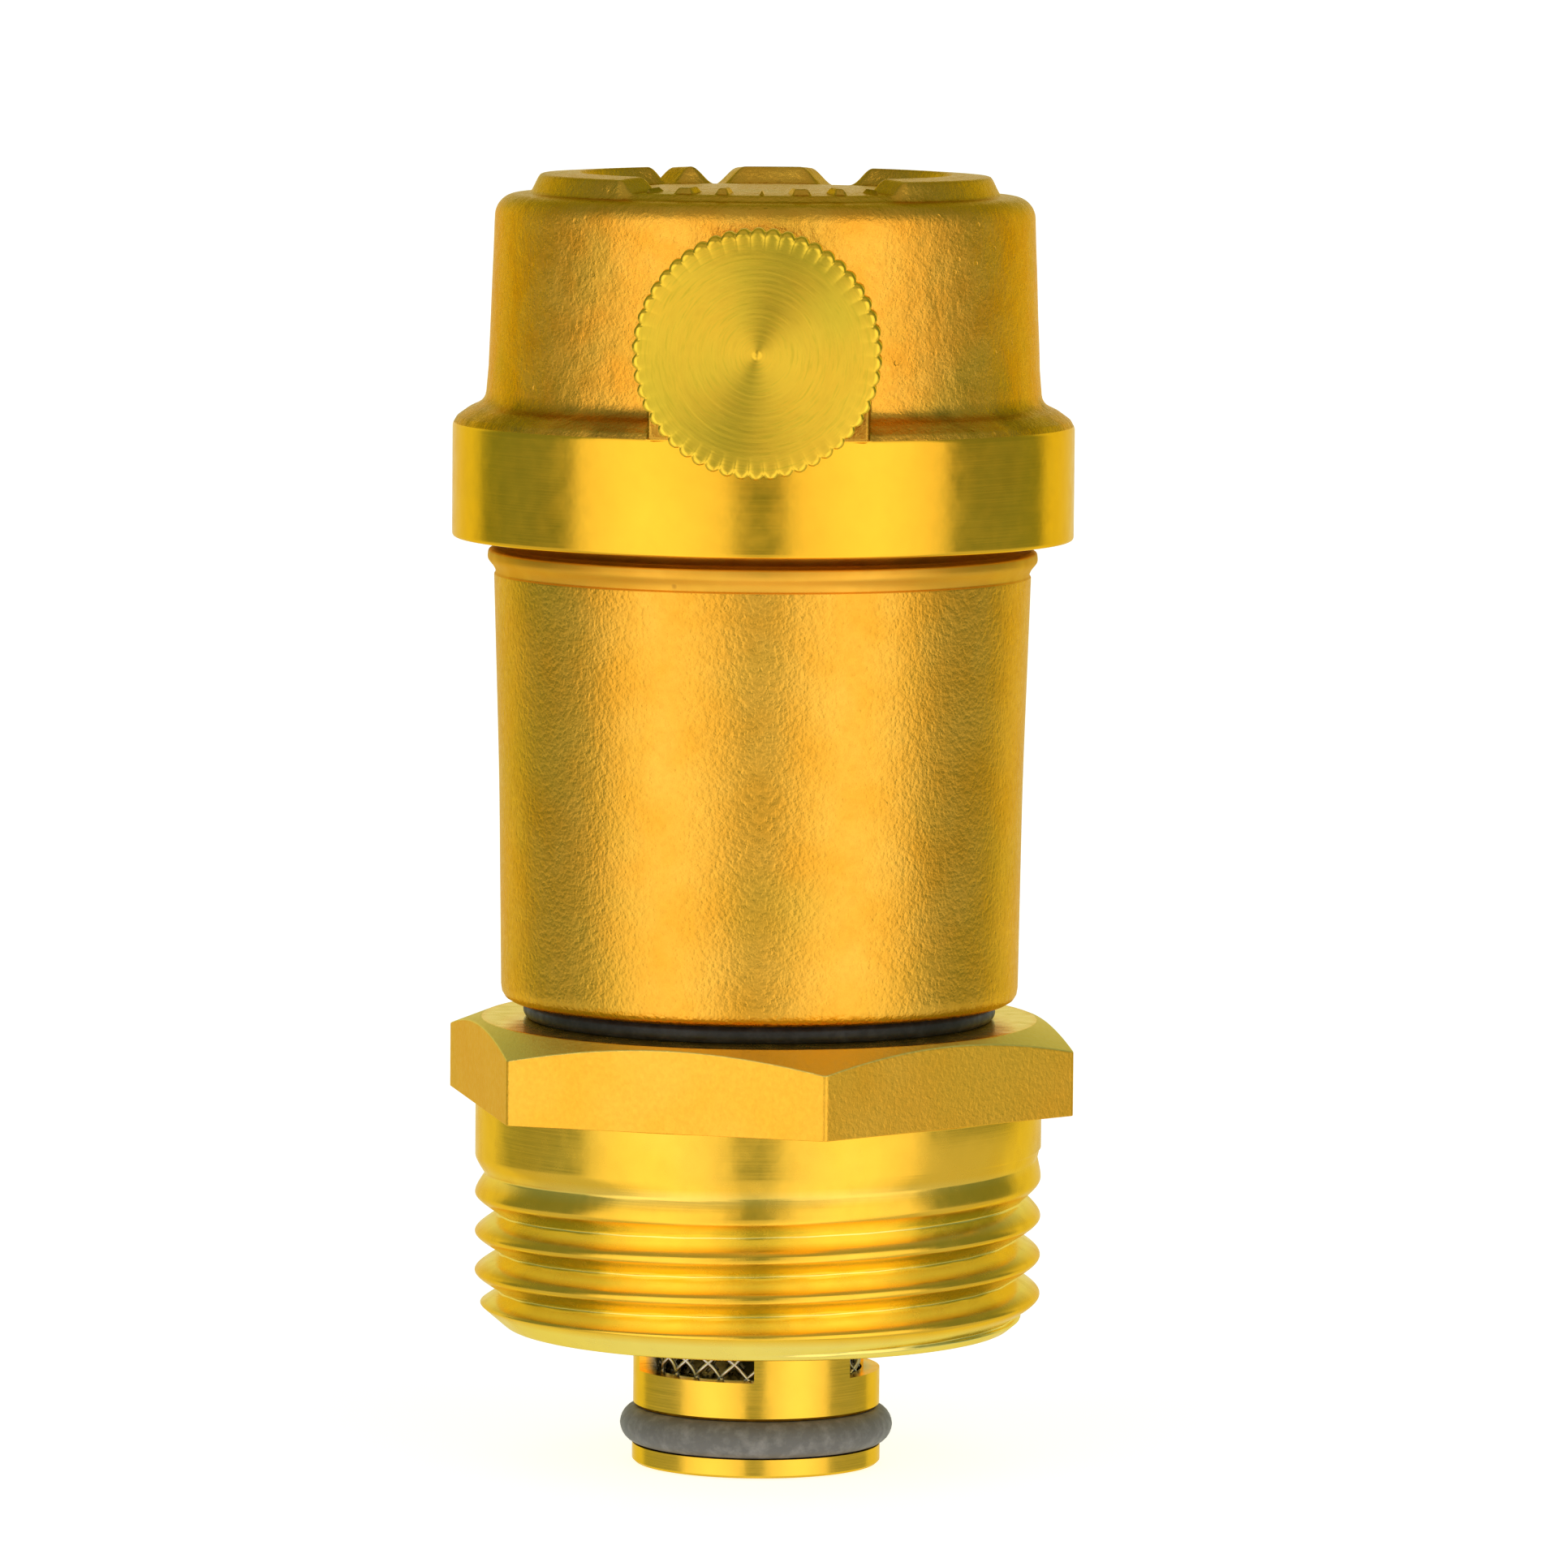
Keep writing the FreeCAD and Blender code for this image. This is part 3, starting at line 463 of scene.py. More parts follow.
# Where painted shade lies: on the cover's top, along the cover's foot, on the body's neck and inside the
# spool's bore.
PAINTED_TOP_SHADE = (52.2, 52.9)                    # heights where the layer starts and is full
PAINTED_FOOT_BAND = (39.75, 39.95, 41.2, 41.8)         # the same, and where it fades and ends
PAINTED_NECK_BAND = (32.1, 32.5)
PAINTED_BORE_RADII = (6.3, 6.9)                         # radii inside which it is full and beyond which there is none


def brass_colour(shader, colours, patch_size, *layers):
    """Uneven brass, a little greener in patches, with a few stains.

    Each layer on it is a share and a colour.
    """
    bright, deep, green = colours
    colour = shader.mix(shader.between(shader.noise(patch_size, 4.0), 0.35, 0.65), bright, deep)
    greener = shader.between(shader.noise(2.3 * patch_size, 2.0), 0.5, 0.72, 0.0, 0.6)
    colour = shader.mix(greener, colour, green)
    stains = shader.number("MULTIPLY", shader.specks(5.5, 0.35, 0.12), 0.7)
    colour = shader.mix(stains, colour, STAIN)
    for share, layer in layers:
        colour = shader.mix(share, colour, layer)
    shader.colour(colour)


def height_band(shader, start, full, fading=1000, end=1001):
    """1 between two heights, fading to 0 beyond them. Without an upper pair it doesn't fade upward."""
    height = shader.split(shader.place)[2]
    rising = shader.between(height, start, full)
    falling = shader.between(height, fading, end, 1.0, 0.0)
    return shader.number("MULTIPLY", rising, falling)


def patchy(shader, share, low, high):
    """A share that is thicker in some places than in others."""
    return shader.number("MULTIPLY", share, shader.between(shader.noise(3.2, 5.0), 0.42, 0.6, low, high))


def facing_up(shader):
    """1 where the surface faces upward."""
    facing = shader.nodes.new("ShaderNodeTexCoord").outputs["Normal"]
    return shader.between(shader.split(facing)[2], 0.2, 0.5)


def from_axis(shader):
    """Distance from the Z axis."""
    return shader.length(shader.vector("MULTIPLY", shader.place, (1, 1, 0)))


def sand_cast_brass(name):
    """Cover: a coarse, sparkling casting with pits, painted shade on its top, and patchy painted shade along
    its foot.
    """
    shader = Shader(name, Metallic=1.0, Specular_Tint=DULL_SHEEN)
    # Painted shade darkens the cover's top.
    top = shader.number("MULTIPLY", height_band(shader, *PAINTED_TOP_SHADE), 0.45)
    # Patchy painted shade along the cover's foot, just above the band.
    foot = patchy(shader, height_band(shader, *PAINTED_FOOT_BAND), 0.15, 0.6)
    brass_colour(shader, ROUGH_CASTING, 2.2, (top, PAINTED_SHADE), (foot, PAINTED_FOOT_SHADE))
    grains = shader.noise(0.24, 4.0, sharpness=0.65)
    lumps = shader.noise(1.0, 2.0)
    pits = shader.specks(1.1, 0.2, 0.3)
    shader.bump(lumps, 0.07)
    shader.bump(grains, 0.06)
    shader.bump(shader.number("MULTIPLY", pits, -1.0), 0.03)
    shader.roughness(shader.between(shader.noise(0.4, 3.0), 0.3, 0.7, 0.2, 0.34))
    return shader.material


def peened_brass(name):
    """Body: blasted to a fine orange peel."""
    shader = Shader(name, Metallic=1.0, Specular_Tint=SHEEN)
    brass_colour(shader, SMOOTH_CASTING, 3.5)
    shader.bump(shader.noise(0.4, 2.0), 0.04)
    shader.bump(shader.noise(0.2, 2.0), 0.018)
    shader.roughness(shader.between(shader.noise(0.4, 3.0), 0.3, 0.7, 0.25, 0.38))
    return shader.material


def blasted_brass(name):
    """Hexagon: flats with a fine, even blast, and a painted highlight where it faces up."""
    shader = Shader(name, Metallic=1.0, Specular_Tint=SHEEN)
    # Painted highlight on the faces that point up, mostly its chamfer.
    brass_colour(shader, HEXAGON_BRASS, 4.5, (facing_up(shader), PAINTED_HIGHLIGHT))
    shader.bump(shader.noise(0.26, 3.0, sharpness=0.62), 0.035)
    shader.roughness(shader.between(shader.noise(0.3, 3.0), 0.3, 0.7, 0.34, 0.46))
    return shader.material


def turned_brass(name, colours=TURNED_BRASS, low=0.16, high=0.26, mark_depth=0.004, layers=None):
    """Machined surface with fine turning marks round the Z axis."""
    shader = Shader(name, Metallic=1.0, Specular_Tint=SHEEN)
    brass_colour(shader, colours, 6.0, *(layers(shader) if layers else ()))
    shader.bump(shader.noise(0.11, 2.0, stretch=(60, 60, 1)), mark_depth)
    shader.bump(shader.noise(0.5, 2.0, stretch=(40, 40, 1)), 2 * mark_depth)
    shader.bump(shader.noise(0.9, 2.0), 0.006)
    shader.roughness(shader.between(shader.noise(1.2, 4.0), 0.3, 0.7, low, high))
    return shader.material


def painted_groove_light(shader):
    """Painted highlight in the pipe thread's grooves, lifting their shade."""
    depth = shader.between(from_axis(shader), PIPE_RADIUS - 0.75, PIPE_RADIUS - 0.15, 1.0, 0.0)
    return [(depth, PAINTED_HIGHLIGHT)]


def painted_neck_shade(shader):
    """Patchy painted shade on the shoulder and neck, under the cover's edge."""
    return [(patchy(shader, height_band(shader, *PAINTED_NECK_BAND), 0.35, 0.6), PAINTED_SHADE)]


def shaded_spool_bore(shader):
    """Painted shade inside the spool, behind its strainer."""
    return [(shader.between(from_axis(shader), *PAINTED_BORE_RADII, 0.97, 0.0), PAINTED_BORE_SHADE)]


def faced_brass(name):
    """Knob's face: rings left by the tool, which stretch its highlights outward."""
    shader = Shader(name, Metallic=1.0, Specular_Tint=SHEEN, Anisotropic=0.85, Anisotropic_Rotation=0.045)
    rings = outlet_rings(shader)
    marks = shader.noise(0.16, 3.0, stretch=(9, 9, 1), place=rings)
    wide_marks = shader.noise(0.7, 2.0, stretch=(9, 9, 1), place=rings)
    brass_colour(shader, FACED_BRASS, 3.0, (shader.between(marks, 0.5, 0.72, 0.0, 0.55), RING_BRASS))
    shader.bump(marks, 0.012)
    shader.bump(wide_marks, 0.018)
    shader.roughness(shader.between(marks, 0.3, 0.7, 0.3, 0.42))
    outward = shader.vector("SUBTRACT", shader.place, (0, 0, OUTLET_HEIGHT))
    along = shader.vector("MULTIPLY", outward, (1, 0, 1))
    turn = shader.nodes.new("ShaderNodeVectorTransform")
    turn.vector_type = "VECTOR"
    turn.convert_from = "OBJECT"
    turn.convert_to = "WORLD"
    shader.links.new(along, turn.inputs["Vector"])
    shader.links.new(turn.outputs["Vector"], shader.surface.inputs["Tangent"])
    return shader.material


def outlet_rings(shader):
    """Coordinates across the knob's face, whose Z is the distance from the outlet's axis."""
    shifted = shader.vector("SUBTRACT", shader.place, (0, 0, OUTLET_HEIGHT))
    flat = shader.vector("MULTIPLY", shifted, (1, 0, 1))
    x, _, z = shader.split(flat)
    join = shader.nodes.new("ShaderNodeCombineXYZ")
    shader.links.new(x, join.inputs["X"])
    shader.links.new(z, join.inputs["Y"])
    shader.links.new(shader.length(flat), join.inputs["Z"])
    return join.outputs["Vector"]


def rubber(name, dark, light, roughness):
    shader = Shader(name, Specular_IOR_Level=0.4)
    dust = shader.between(shader.noise(0.9, 5.0, sharpness=0.65), 0.45, 0.75, 0.0, 1.0)
    shader.colour(shader.mix(dust, tone(*dark), tone(*light)))
    shader.bump(shader.noise(0.12, 3.0), 0.008)
    shader.bump(shader.noise(0.4, 2.0, stretch=(8, 8, 1)), 0.01)
    shader.roughness(shader.between(shader.noise(0.6, 3.0), 0.3, 0.7, roughness, roughness + 0.15))
    return shader.material


def steel(name, low=0.2, high=0.38, colour=(0.62, 0.61, 0.58)):
    shader = Shader(name, Metallic=1.0)
    darker = tuple(0.72 * c for c in colour)
    shader.colour(shader.mix(shader.noise(1.2, 4.0), tone(*colour), tone(*darker)))
    shader.bump(shader.noise(0.08, 2.0, stretch=(1, 1, 12)), 0.003)
    shader.roughness(shader.between(shader.noise(0.5, 3.0), 0.3, 0.7, low, high))
    return shader.material


def moulded_plastic(name, colour):
    shader = Shader(name, Specular_IOR_Level=0.5, Subsurface_Weight=0.05)
    shade = tuple(0.86 * c for c in colour)
    shader.colour(shader.mix(shader.noise(4.0, 4.0), tone(*colour), tone(*shade)))
    shader.bump(shader.noise(0.25, 3.0), 0.006)
    shader.roughness(shader.between(shader.noise(1.0, 3.0), 0.3, 0.7, 0.32, 0.48))
    return shader.material


def pressed_fibre(name):
    shader = Shader(name, Specular_IOR_Level=0.3)
    fibres = shader.noise(0.12, 4.0, stretch=(5, 1, 1))
    shader.colour(shader.mix(fibres, tone(0.3, 0.09, 0.045), tone(0.17, 0.05, 0.03)))
    shader.bump(fibres, 0.012)
    shader.roughness(shader.between(fibres, 0.3, 0.7, 0.6, 0.8))
    return shader.material


# --- Pieces -------------------------------------------------------------------------------------------

def hexagon_corners():
    return HEX_CORNER_ANGLE + np.arange(6) * TURN / 6


def hexagon_angles():
    """A column each degree, and closer ones over each rounded corner."""
    close = np.linspace(-1.4, 1.4, 15) * hexagon_corner_turn()
    every = np.concatenate([np.radians(np.arange(360))] + [corner + close for corner in hexagon_corners()])
    every = np.sort(np.mod(every, TURN))
    keep = np.diff(every, append=every[0] + TURN) > math.radians(0.04)
    return every[keep]


def hexagon_corner_turn():
    """Half the angle that a rounded corner takes up, seen from the axis."""
    middle = (0.5 * HEX_FLATS - HEX_CORNER_ROUNDING) / math.cos(math.pi / 6)
    return math.atan2(0.5 * HEX_CORNER_ROUNDING, middle + HEX_CORNER_ROUNDING * math.cos(math.pi / 6))


def hexagon_radius(angles):
    """Distance from the axis to a hexagon with rounded corners."""
    turn = np.mod(angles - HEX_CORNER_ANGLE + TURN / 12, TURN / 6) - TURN / 12
    middle = (0.5 * HEX_FLATS - HEX_CORNER_ROUNDING) / math.cos(math.pi / 6)
    side = 0.5 * HEX_FLATS / np.cos(math.pi / 6 - np.abs(turn))
    across = np.minimum(np.abs(middle * np.sin(turn)), HEX_CORNER_ROUNDING)
    rounded = middle * np.cos(turn) + np.sqrt(HEX_CORNER_ROUNDING ** 2 - across ** 2)
    return np.where(np.abs(turn) < hexagon_corner_turn(), rounded, side)


def pipe_thread_rows(bottom, angles):
    """From the adapter's foot up to the collar: chamfered start, rounded thread and run-out."""
    heights = np.arange(bottom + 0.35, -COLLAR_HEIGHT - 0.15, PIPE_ROW_STEP)
    crest = PIPE_CREST + 0.5 * PIPE_PITCH
    turns = thread_turns(PIPE_PITCH, crest, heights, angles)
    root_height = crest + PIPE_PITCH * (np.floor(turns) + 0.5 + angles / TURN)
    strength = np.clip((RUNOUT_END - root_height) / RUNOUT_LENGTH, 0, 1)
    radius = thread(PIPE_RADIUS, PIPE_DEPTH, turns, strength)
    rise = (heights - bottom) / ADAPTER_FOOT_CHAMFER
    chamfer = ADAPTER_FOOT_RADIUS + (PIPE_RADIUS - ADAPTER_FOOT_RADIUS) * rise
    return pairs(soft_smaller(radius, chamfer[:, None] + 0 * radius, 0.12), heights[:, None])


def make_adapter(materials):
    low, high = span("adapter")
    angles = hexagon_angles()
    hexagon = hexagon_radius(angles)
    top = high.z
    corner = HEX_FLATS / math.sqrt(3)
    slope = HEX_CORNER_DROP / (corner - HEX_CHAMFER_RADIUS)
    shoulder = top - slope * (hexagon - HEX_CHAMFER_RADIUS)
    lower = soften([(SPOOL_BORE + SEAT_CHAMFER, low.z, 0.1), (ADAPTER_FOOT_RADIUS, low.z, 0.3),
                    (PIPE_RADIUS, low.z + ADAPTER_FOOT_CHAMFER, 0)], angles, False)[:-1]
    upper = soften([(PIPE_RADIUS, -COLLAR_HEIGHT - 0.1, 0), (PIPE_RADIUS, -0.01, 0.06), (hexagon, 0, 0.06),
                    (hexagon, shoulder, 0.1), (HEX_CHAMFER_RADIUS, top, 0.12),
                    (JOINT_BORE + 0.6, top, 0.1), (JOINT_BORE, top - 0.6, 0.1),
                    (JOINT_BORE, -3.5, 0.1), (SPRING_CHAMBER_RADIUS, -4.0, 0.1),
                    (SPRING_CHAMBER_RADIUS, SPRING_SHOULDER, 0.1), (SPOOL_BORE, SPRING_SHOULDER, 0.1),
                    (SPOOL_BORE, low.z + SEAT_CHAMFER, 0.1), (SPOOL_BORE + SEAT_CHAMFER, low.z, 0)],
                   angles, False)[:-1]
    rows = np.concatenate([lower[1:], pipe_thread_rows(low.z, angles), upper])
    piece = turned("adapter_brass", rows, angles)

    def pick(at):
        return (at[:, 2] > 0) & (np.hypot(at[:, 0], at[:, 1]) > HEX_CHAMFER_RADIUS)

    finish_piece(piece, "adapter", "adapter", materials, pick)


def make_body(materials):
    low, high = span("body")
    bottom = span("body_gasket")[1].z
    angles = even_angles()
    heights = np.arange(low.z + 0.1, bottom - 1.2, SPIGOT_ROW_STEP)
    fade = 1 - smooth_step((heights - bottom + 2.4) / 0.8)
    turns = thread_turns(SPIGOT_PITCH, low.z + 1.0, heights, angles)
    spigot = thread(SPIGOT_RADIUS, SPIGOT_DEPTH, turns, fade[:, None])
    limit = (SPIGOT_RADIUS - 0.9 + (heights - low.z))[:, None] + 0 * spigot
    spigot = pairs(soft_smaller(spigot, limit, 0.1), heights[:, None])
    groove = SPIGOT_RADIUS - SPIGOT_DEPTH
    cast_radius, cast_top = BODY_CAST_TOP
    lower = soften([(SPIGOT_BORE, low.z, 0), (groove, low.z, 0)], angles, False)
    wall = soften([(groove, bottom - 1.0, 0), (groove, bottom, 0.15), (BODY_FOOT_RADIUS, bottom, 0.9),
                   (*BODY_MIDDLE, 2.5), (cast_radius, cast_top, 0.06),
                   (cast_radius - 0.1, cast_top + 0.12, 0.05),
                   (cast_radius - 0.06, BODY_LIP_HEIGHT - 0.75, 0.25),
                   (BODY_LIP_RADIUS, BODY_LIP_HEIGHT - 0.2, 0.18),
                   (BODY_LIP_RADIUS - 0.05, BODY_SHOULDER - 0.2, 0.12),
                   (cast_radius, BODY_SHOULDER, 0.12), (NECK_RADIUS - 0.9, BODY_SHOULDER, 0),
                   (NECK_RADIUS - 0.9, BODY_SHOULDER + 0.8, 0), (NECK_RADIUS, BODY_SHOULDER + 1.4, 0),
                   (NECK_RADIUS, high.z - 0.7, 0), (NECK_RADIUS - 0.9, high.z, 0),
                   (BODY_CHAMBER_RADIUS, high.z, 0.1), (BODY_CHAMBER_RADIUS, BODY_CHAMBER_FLOOR, 1.6),
                   (SPIGOT_BORE, BODY_CHAMBER_FLOOR, 0.2), (SPIGOT_BORE, low.z, 0)], angles, False)[:-1]
    rows = np.concatenate([lower, spigot, wall])
    piece = turned("body_brass", rows, angles)

    def pick(at):
        reach = np.hypot(at[:, 0], at[:, 1])
        return ~((at[:, 2] > bottom - 0.01) & (at[:, 2] < cast_top) & (reach > BODY_CHAMBER_RADIUS + 1))

    finish_piece(piece, "body", "vent", materials, pick)


def cover_angles():
    """A column each three quarters of a degree, and closer ones over the boss."""
    boss = np.radians(np.arange(-27, 27, 0.25))
    rest = np.radians(np.arange(27, 333, 0.75))
    return FRONT + np.concatenate([boss, rest])


def boss_radius(angles, heights):
    """Distance from the axis to the boss's flat face and sides, and 0 where there is no boss."""
    away = np.mod(angles - FRONT + math.pi, TURN) - math.pi
    rise = np.maximum(heights - OUTLET_HEIGHT, 0)
    half = np.sqrt(np.maximum(BOSS_HALF_WIDTH ** 2 - rise ** 2, 0))
    near = np.clip(np.abs(away), 1e-4, BOSS_REACH)
    face = BOSS_FACE / np.cos(near)
    sides = half / np.sin(near)
    return np.where(np.abs(away) < BOSS_REACH, soft_smaller(face, np.minimum(sides, 30), 0.35), 0)


def relief(angles, radius):
    """Raised ornament on the dome, from 0 to 1: a broken ring, and a strip of plain blocks at the front."""
    inner, outer = RELIEF_RADII
    ring = smooth_step(np.minimum(radius - inner, outer - radius) / RELIEF_SLOPE)
    clockwise = np.degrees(np.mod(math.pi / 2 - angles + math.pi, TURN)) - 180
    height = np.zeros(np.broadcast(angles, radius).shape)
    for first, last in RELIEF_ARCS:
        ends = np.radians(np.minimum(clockwise - first, last - clockwise)) * radius
        height = np.maximum(height, ring * smooth_step((ends + 0.3) / RELIEF_END_SLOPE))
    reach, half_width, share = RELIEF_STRIP
    across = half_width - np.abs(radius - RELIEF_BLOCK_RADIUS)
    along = np.radians(reach - np.abs(np.degrees(np.mod(angles - FRONT + math.pi, TURN) - math.pi))) * radius
    strip = share * smooth_step(across / RELIEF_SLOPE) * smooth_step(along / RELIEF_SLOPE)
    height = np.maximum(height, strip)
    for i in range(RELIEF_BLOCKS):
        middle = FRONT + math.radians(RELIEF_BLOCK_SPAN * (i / (RELIEF_BLOCKS - 1) - 0.5))
        wide = RELIEF_BLOCK_HALVES[1] * RELIEF_BLOCK_WIDTHS[i % len(RELIEF_BLOCK_WIDTHS)]
        out = RELIEF_BLOCK_HALVES[0] - np.abs(radius * np.cos(angles - middle) - RELIEF_BLOCK_RADIUS)
        side = wide - np.abs(radius * np.sin(angles - middle))
        mark = smooth_step(soft_smaller(out, side, 0.15) / (0.7 * RELIEF_SLOPE))
        height = np.maximum(height, RELIEF_BLOCK_HEIGHT * mark)
    return height


def dome_rows(angles):
    """Cover's top from its rounded edge to the middle."""
    rim = COVER_WALL_RADIUS - COVER_EDGE_RADIUS
    outer = np.arange(rim, RELIEF_RADII[0] - 0.4, -0.12)
    inner = np.linspace(RELIEF_RADII[0] - 0.5, 0, 26)
    radius = np.concatenate([outer, inner])[:, None] + 0 * angles
    dome = COVER_EDGE_HEIGHT + COVER_DOME_RISE * (1 - (radius / rim) ** 2)
    height = dome + RELIEF_HEIGHT * relief(angles, radius)
    height = height + COVER_DOME_UNEVENNESS * waviness(angles, 0.8 * radius, 5)
    height[-1] = height[-1].mean()
    return np.stack([radius, height], axis=1)


def with_boss(rows, angles):
    """The cover's outside above its band, with the boss and a casting's unevenness added to its wall."""
    radius, height = rows[:, 0], rows[:, 1]
    outer = radius > 0.9 * COVER_WALL_RADIUS
    uneven = COVER_UNEVENNESS * waviness(angles, height, 3) * ((height > COVER_LEDGE[1]) & outer)
    blended = soft_larger(radius + uneven, boss_radius(angles, height), BOSS_BLEND)
    on_wall = (height > BAND_TOP) & (height < COVER_EDGE_HEIGHT - 0.2) & outer
    return np.stack([np.where(on_wall, blended, radius), height], axis=1)


def make_cover(materials):
    low, _ = span("cover")
    band = -low.x
    angles = cover_angles()
    seal = span("cover_seal")[1].z
    chamber_radius, chamber_top = COVER_CHAMBER
    inside = soften([(0, chamber_top, 0), (chamber_radius, chamber_top, 1.8), (chamber_radius, seal, 0),
                     (COVER_SKIRT_BORE, seal, 0), (COVER_SKIRT_BORE, low.z + 0.35, 0.1),
                     (COVER_SKIRT_BORE + 0.35, low.z, 0.1), (band, low.z, 0.22), (band, BAND_TOP, 0.13),
                     (band - 0.25, BAND_TOP + 0.45, 0.1), (*COVER_LEDGE, 0.2), (*COVER_FOOT, 0.55),
                     (COVER_WALL_RADIUS + 0.36, COVER_WALL_FOOT, 0)], angles, False)[:-1]
    wall_heights = np.concatenate([np.arange(*rows) for rows in COVER_WALL_ROWS])
    draft = COVER_WALL_DRAFT * (COVER_EDGE_HEIGHT - COVER_EDGE_RADIUS - wall_heights)
    wall_radius = (COVER_WALL_RADIUS + draft)[:, None] + 0 * angles
    wall = pairs(wall_radius, wall_heights[:, None])
    turn = np.linspace(0.06, 0.5 * math.pi, 12)[:, None] + 0 * angles
    edge_radius = COVER_WALL_RADIUS + COVER_EDGE_RADIUS * (np.cos(turn) - 1)
    edge_height = COVER_EDGE_HEIGHT + COVER_EDGE_RADIUS * (np.sin(turn) - 1)
    edge = np.stack([edge_radius, edge_height], axis=1)
    rows = np.concatenate([inside, wall, edge[:-1], dome_rows(angles)])
    above_band = len(inside) - 3 * ROWS_PER_CORNER - 1
    rows[above_band:] = with_boss(rows[above_band:], angles)
    piece = turned("cover_brass", rows, angles, closed=False)

    def pick(at):
        from_outlet = np.hypot(at[:, 0], at[:, 2] - OUTLET_HEIGHT)
        ahead = (at[:, 1] < 0.2 - BOSS_FACE) & (from_outlet < BOSS_HALF_WIDTH - 0.3)
        return (at[:, 2] > BAND_TOP + 0.1) & ~ahead

    finish_piece(piece, "cover", "vent", materials, pick)


def knurl(angles):
    """From 0 on a tooth's crest to 1 in the valley between two teeth."""
    return (1 - np.abs(np.sin(0.5 * KNOB_TEETH * angles))) ** 1.3


def knob_rings(radius):
    """Uneven turning marks on the knob's face, from -1 to 1."""
    turns = TURN * radius
    return 0.5 * np.sin(turns / 0.31) + 0.3 * np.sin(turns / 0.43 + 1) + 0.2 * np.sin(turns / 0.9 + 2)


def make_knob(materials):
    low, high = span("vent_cap")
    back, front = -high.y, -low.y
    angles = even_angles(KNOB_TEETH * 12)
    valleys = knurl(angles)
    side = KNOB_RADIUS - KNOB_TOOTH_DEPTH * valleys
    bevel_height = front - KNOB_FACE_BEVEL
    floor = KNOB_FLOOR_GAP - span("cap_seal")[0].y
    lower = soften([(0, floor, 0), (NOZZLE_HOLE, floor, 0.1),
                    (NOZZLE_HOLE, back + 0.5, 0.1), (NOZZLE_HOLE + 0.5, back, 0.1),
                    (KNOB_RADIUS - KNOB_BACK_BEVEL - 0.2, back, 0.1),
                    (side, back + KNOB_BACK_BEVEL, 0.1), (side, bevel_height, 0.12)], angles, False)
    rim = side - KNOB_FACE_BEVEL
    rim_rows = soften([(side, bevel_height, 0), (rim, front - KNOB_RIM_DROP, 0.08),
                       (KNOB_FACE_RADIUS, front - 0.09, 0)], angles, False)[:-1]
    share = np.linspace(0.2, 1, 12)[:, None]
    ribs_radius = rim + (KNOB_FACE_RADIUS - rim) * share
    rib_depth = KNOB_RIB_DEPTH * valleys * (1 - share) ** 1.2
    ribs_height = front - KNOB_RIM_DROP + KNOB_RIB_RISE * share - rib_depth
    ribs = np.stack([ribs_radius, ribs_height], axis=1)
    rim_rows[1:, 1] -= KNOB_RIB_DEPTH * valleys
    face_radius = np.concatenate([np.arange(KNOB_FACE_RADIUS - 0.06, 0.4, -0.07), np.linspace(0.36, 0, 7)])
    face_height = front - KNOB_FACE_DROP + KNOB_RING_DEPTH * knob_rings(face_radius)
    face_height = face_height + KNOB_PIP_HEIGHT * smooth_step((0.3 - face_radius) / 0.2)
    face = pairs(face_radius[:, None] + 0 * angles, face_height[:, None])
    rows = np.concatenate([lower, rim_rows[1:], ribs, face])
    piece = turned("knob_brass", rows, angles, closed=False)
    lay_outward(piece)

    def pick(at):
        reach = np.hypot(at[:, 0], at[:, 2] - OUTLET_HEIGHT)
        return (at[:, 1] < 0.2 - front) & (reach < KNOB_RADIUS - KNOB_FACE_BEVEL)

    finish_piece(piece, "vent_cap", "cap", materials, pick)


def make_gasket(material):
    low, high = span("body_gasket")
    outer = high.x
    inner = 10.75
    angles = even_angles()
    rows = soften([(inner, low.z, 0.1), (outer - 0.25, low.z, 0.12), (outer, low.z + 0.3, 0.15),
                   (outer, high.z - 0.3, 0.15), (outer - 0.25, high.z, 0.12), (inner, high.z, 0.1)],
                  angles, True)
    piece = turned("gasket_rubber", rows, angles)
    finish_piece(piece, "body_gasket", "gasket", [material])


def make_o_ring(material):
    low, high = span("spool_o_ring")
    section = 0.5 * (high.z - low.z)
    centre = high.x - section
    angles = even_angles()
    turn = np.arange(28) * TURN / 28
    flash = 1 + 0.012 * np.exp(-(np.minimum(turn, TURN - turn) / 0.12) ** 2)
    bulge = 0.99 + 0 * angles + 0.004 * np.sin(3 * angles)
    radius = centre + section * (np.cos(turn) * flash)[:, None] * bulge
    height = low.z + section + section * np.sin(turn)[:, None] * bulge
    piece = turned("spool_o_ring_rubber", np.stack([radius, height], axis=1), angles)
    finish_piece(piece, "spool_o_ring", "spool", [material])


def wire_path(start, sense, bottom, top, middle):
    """Points of one wire, at 45 degrees round the sleeve, in and out over the wires that it crosses."""
    cell = TURN / WIRE_COUNT
    sweep = (top - bottom) / middle
    count = int(sweep / cell * WIRE_STEPS)
    along = np.linspace(0, sweep, count)
    angle = start + sense * along
    crossing = 2 * along / cell
    swing = WIRE_RADIUS * sense * np.sin(math.pi * crossing + 0.5 * math.pi)
    radius = middle + swing
    return np.stack([radius * np.cos(angle), radius * np.sin(angle), bottom + along * middle], axis=-1)


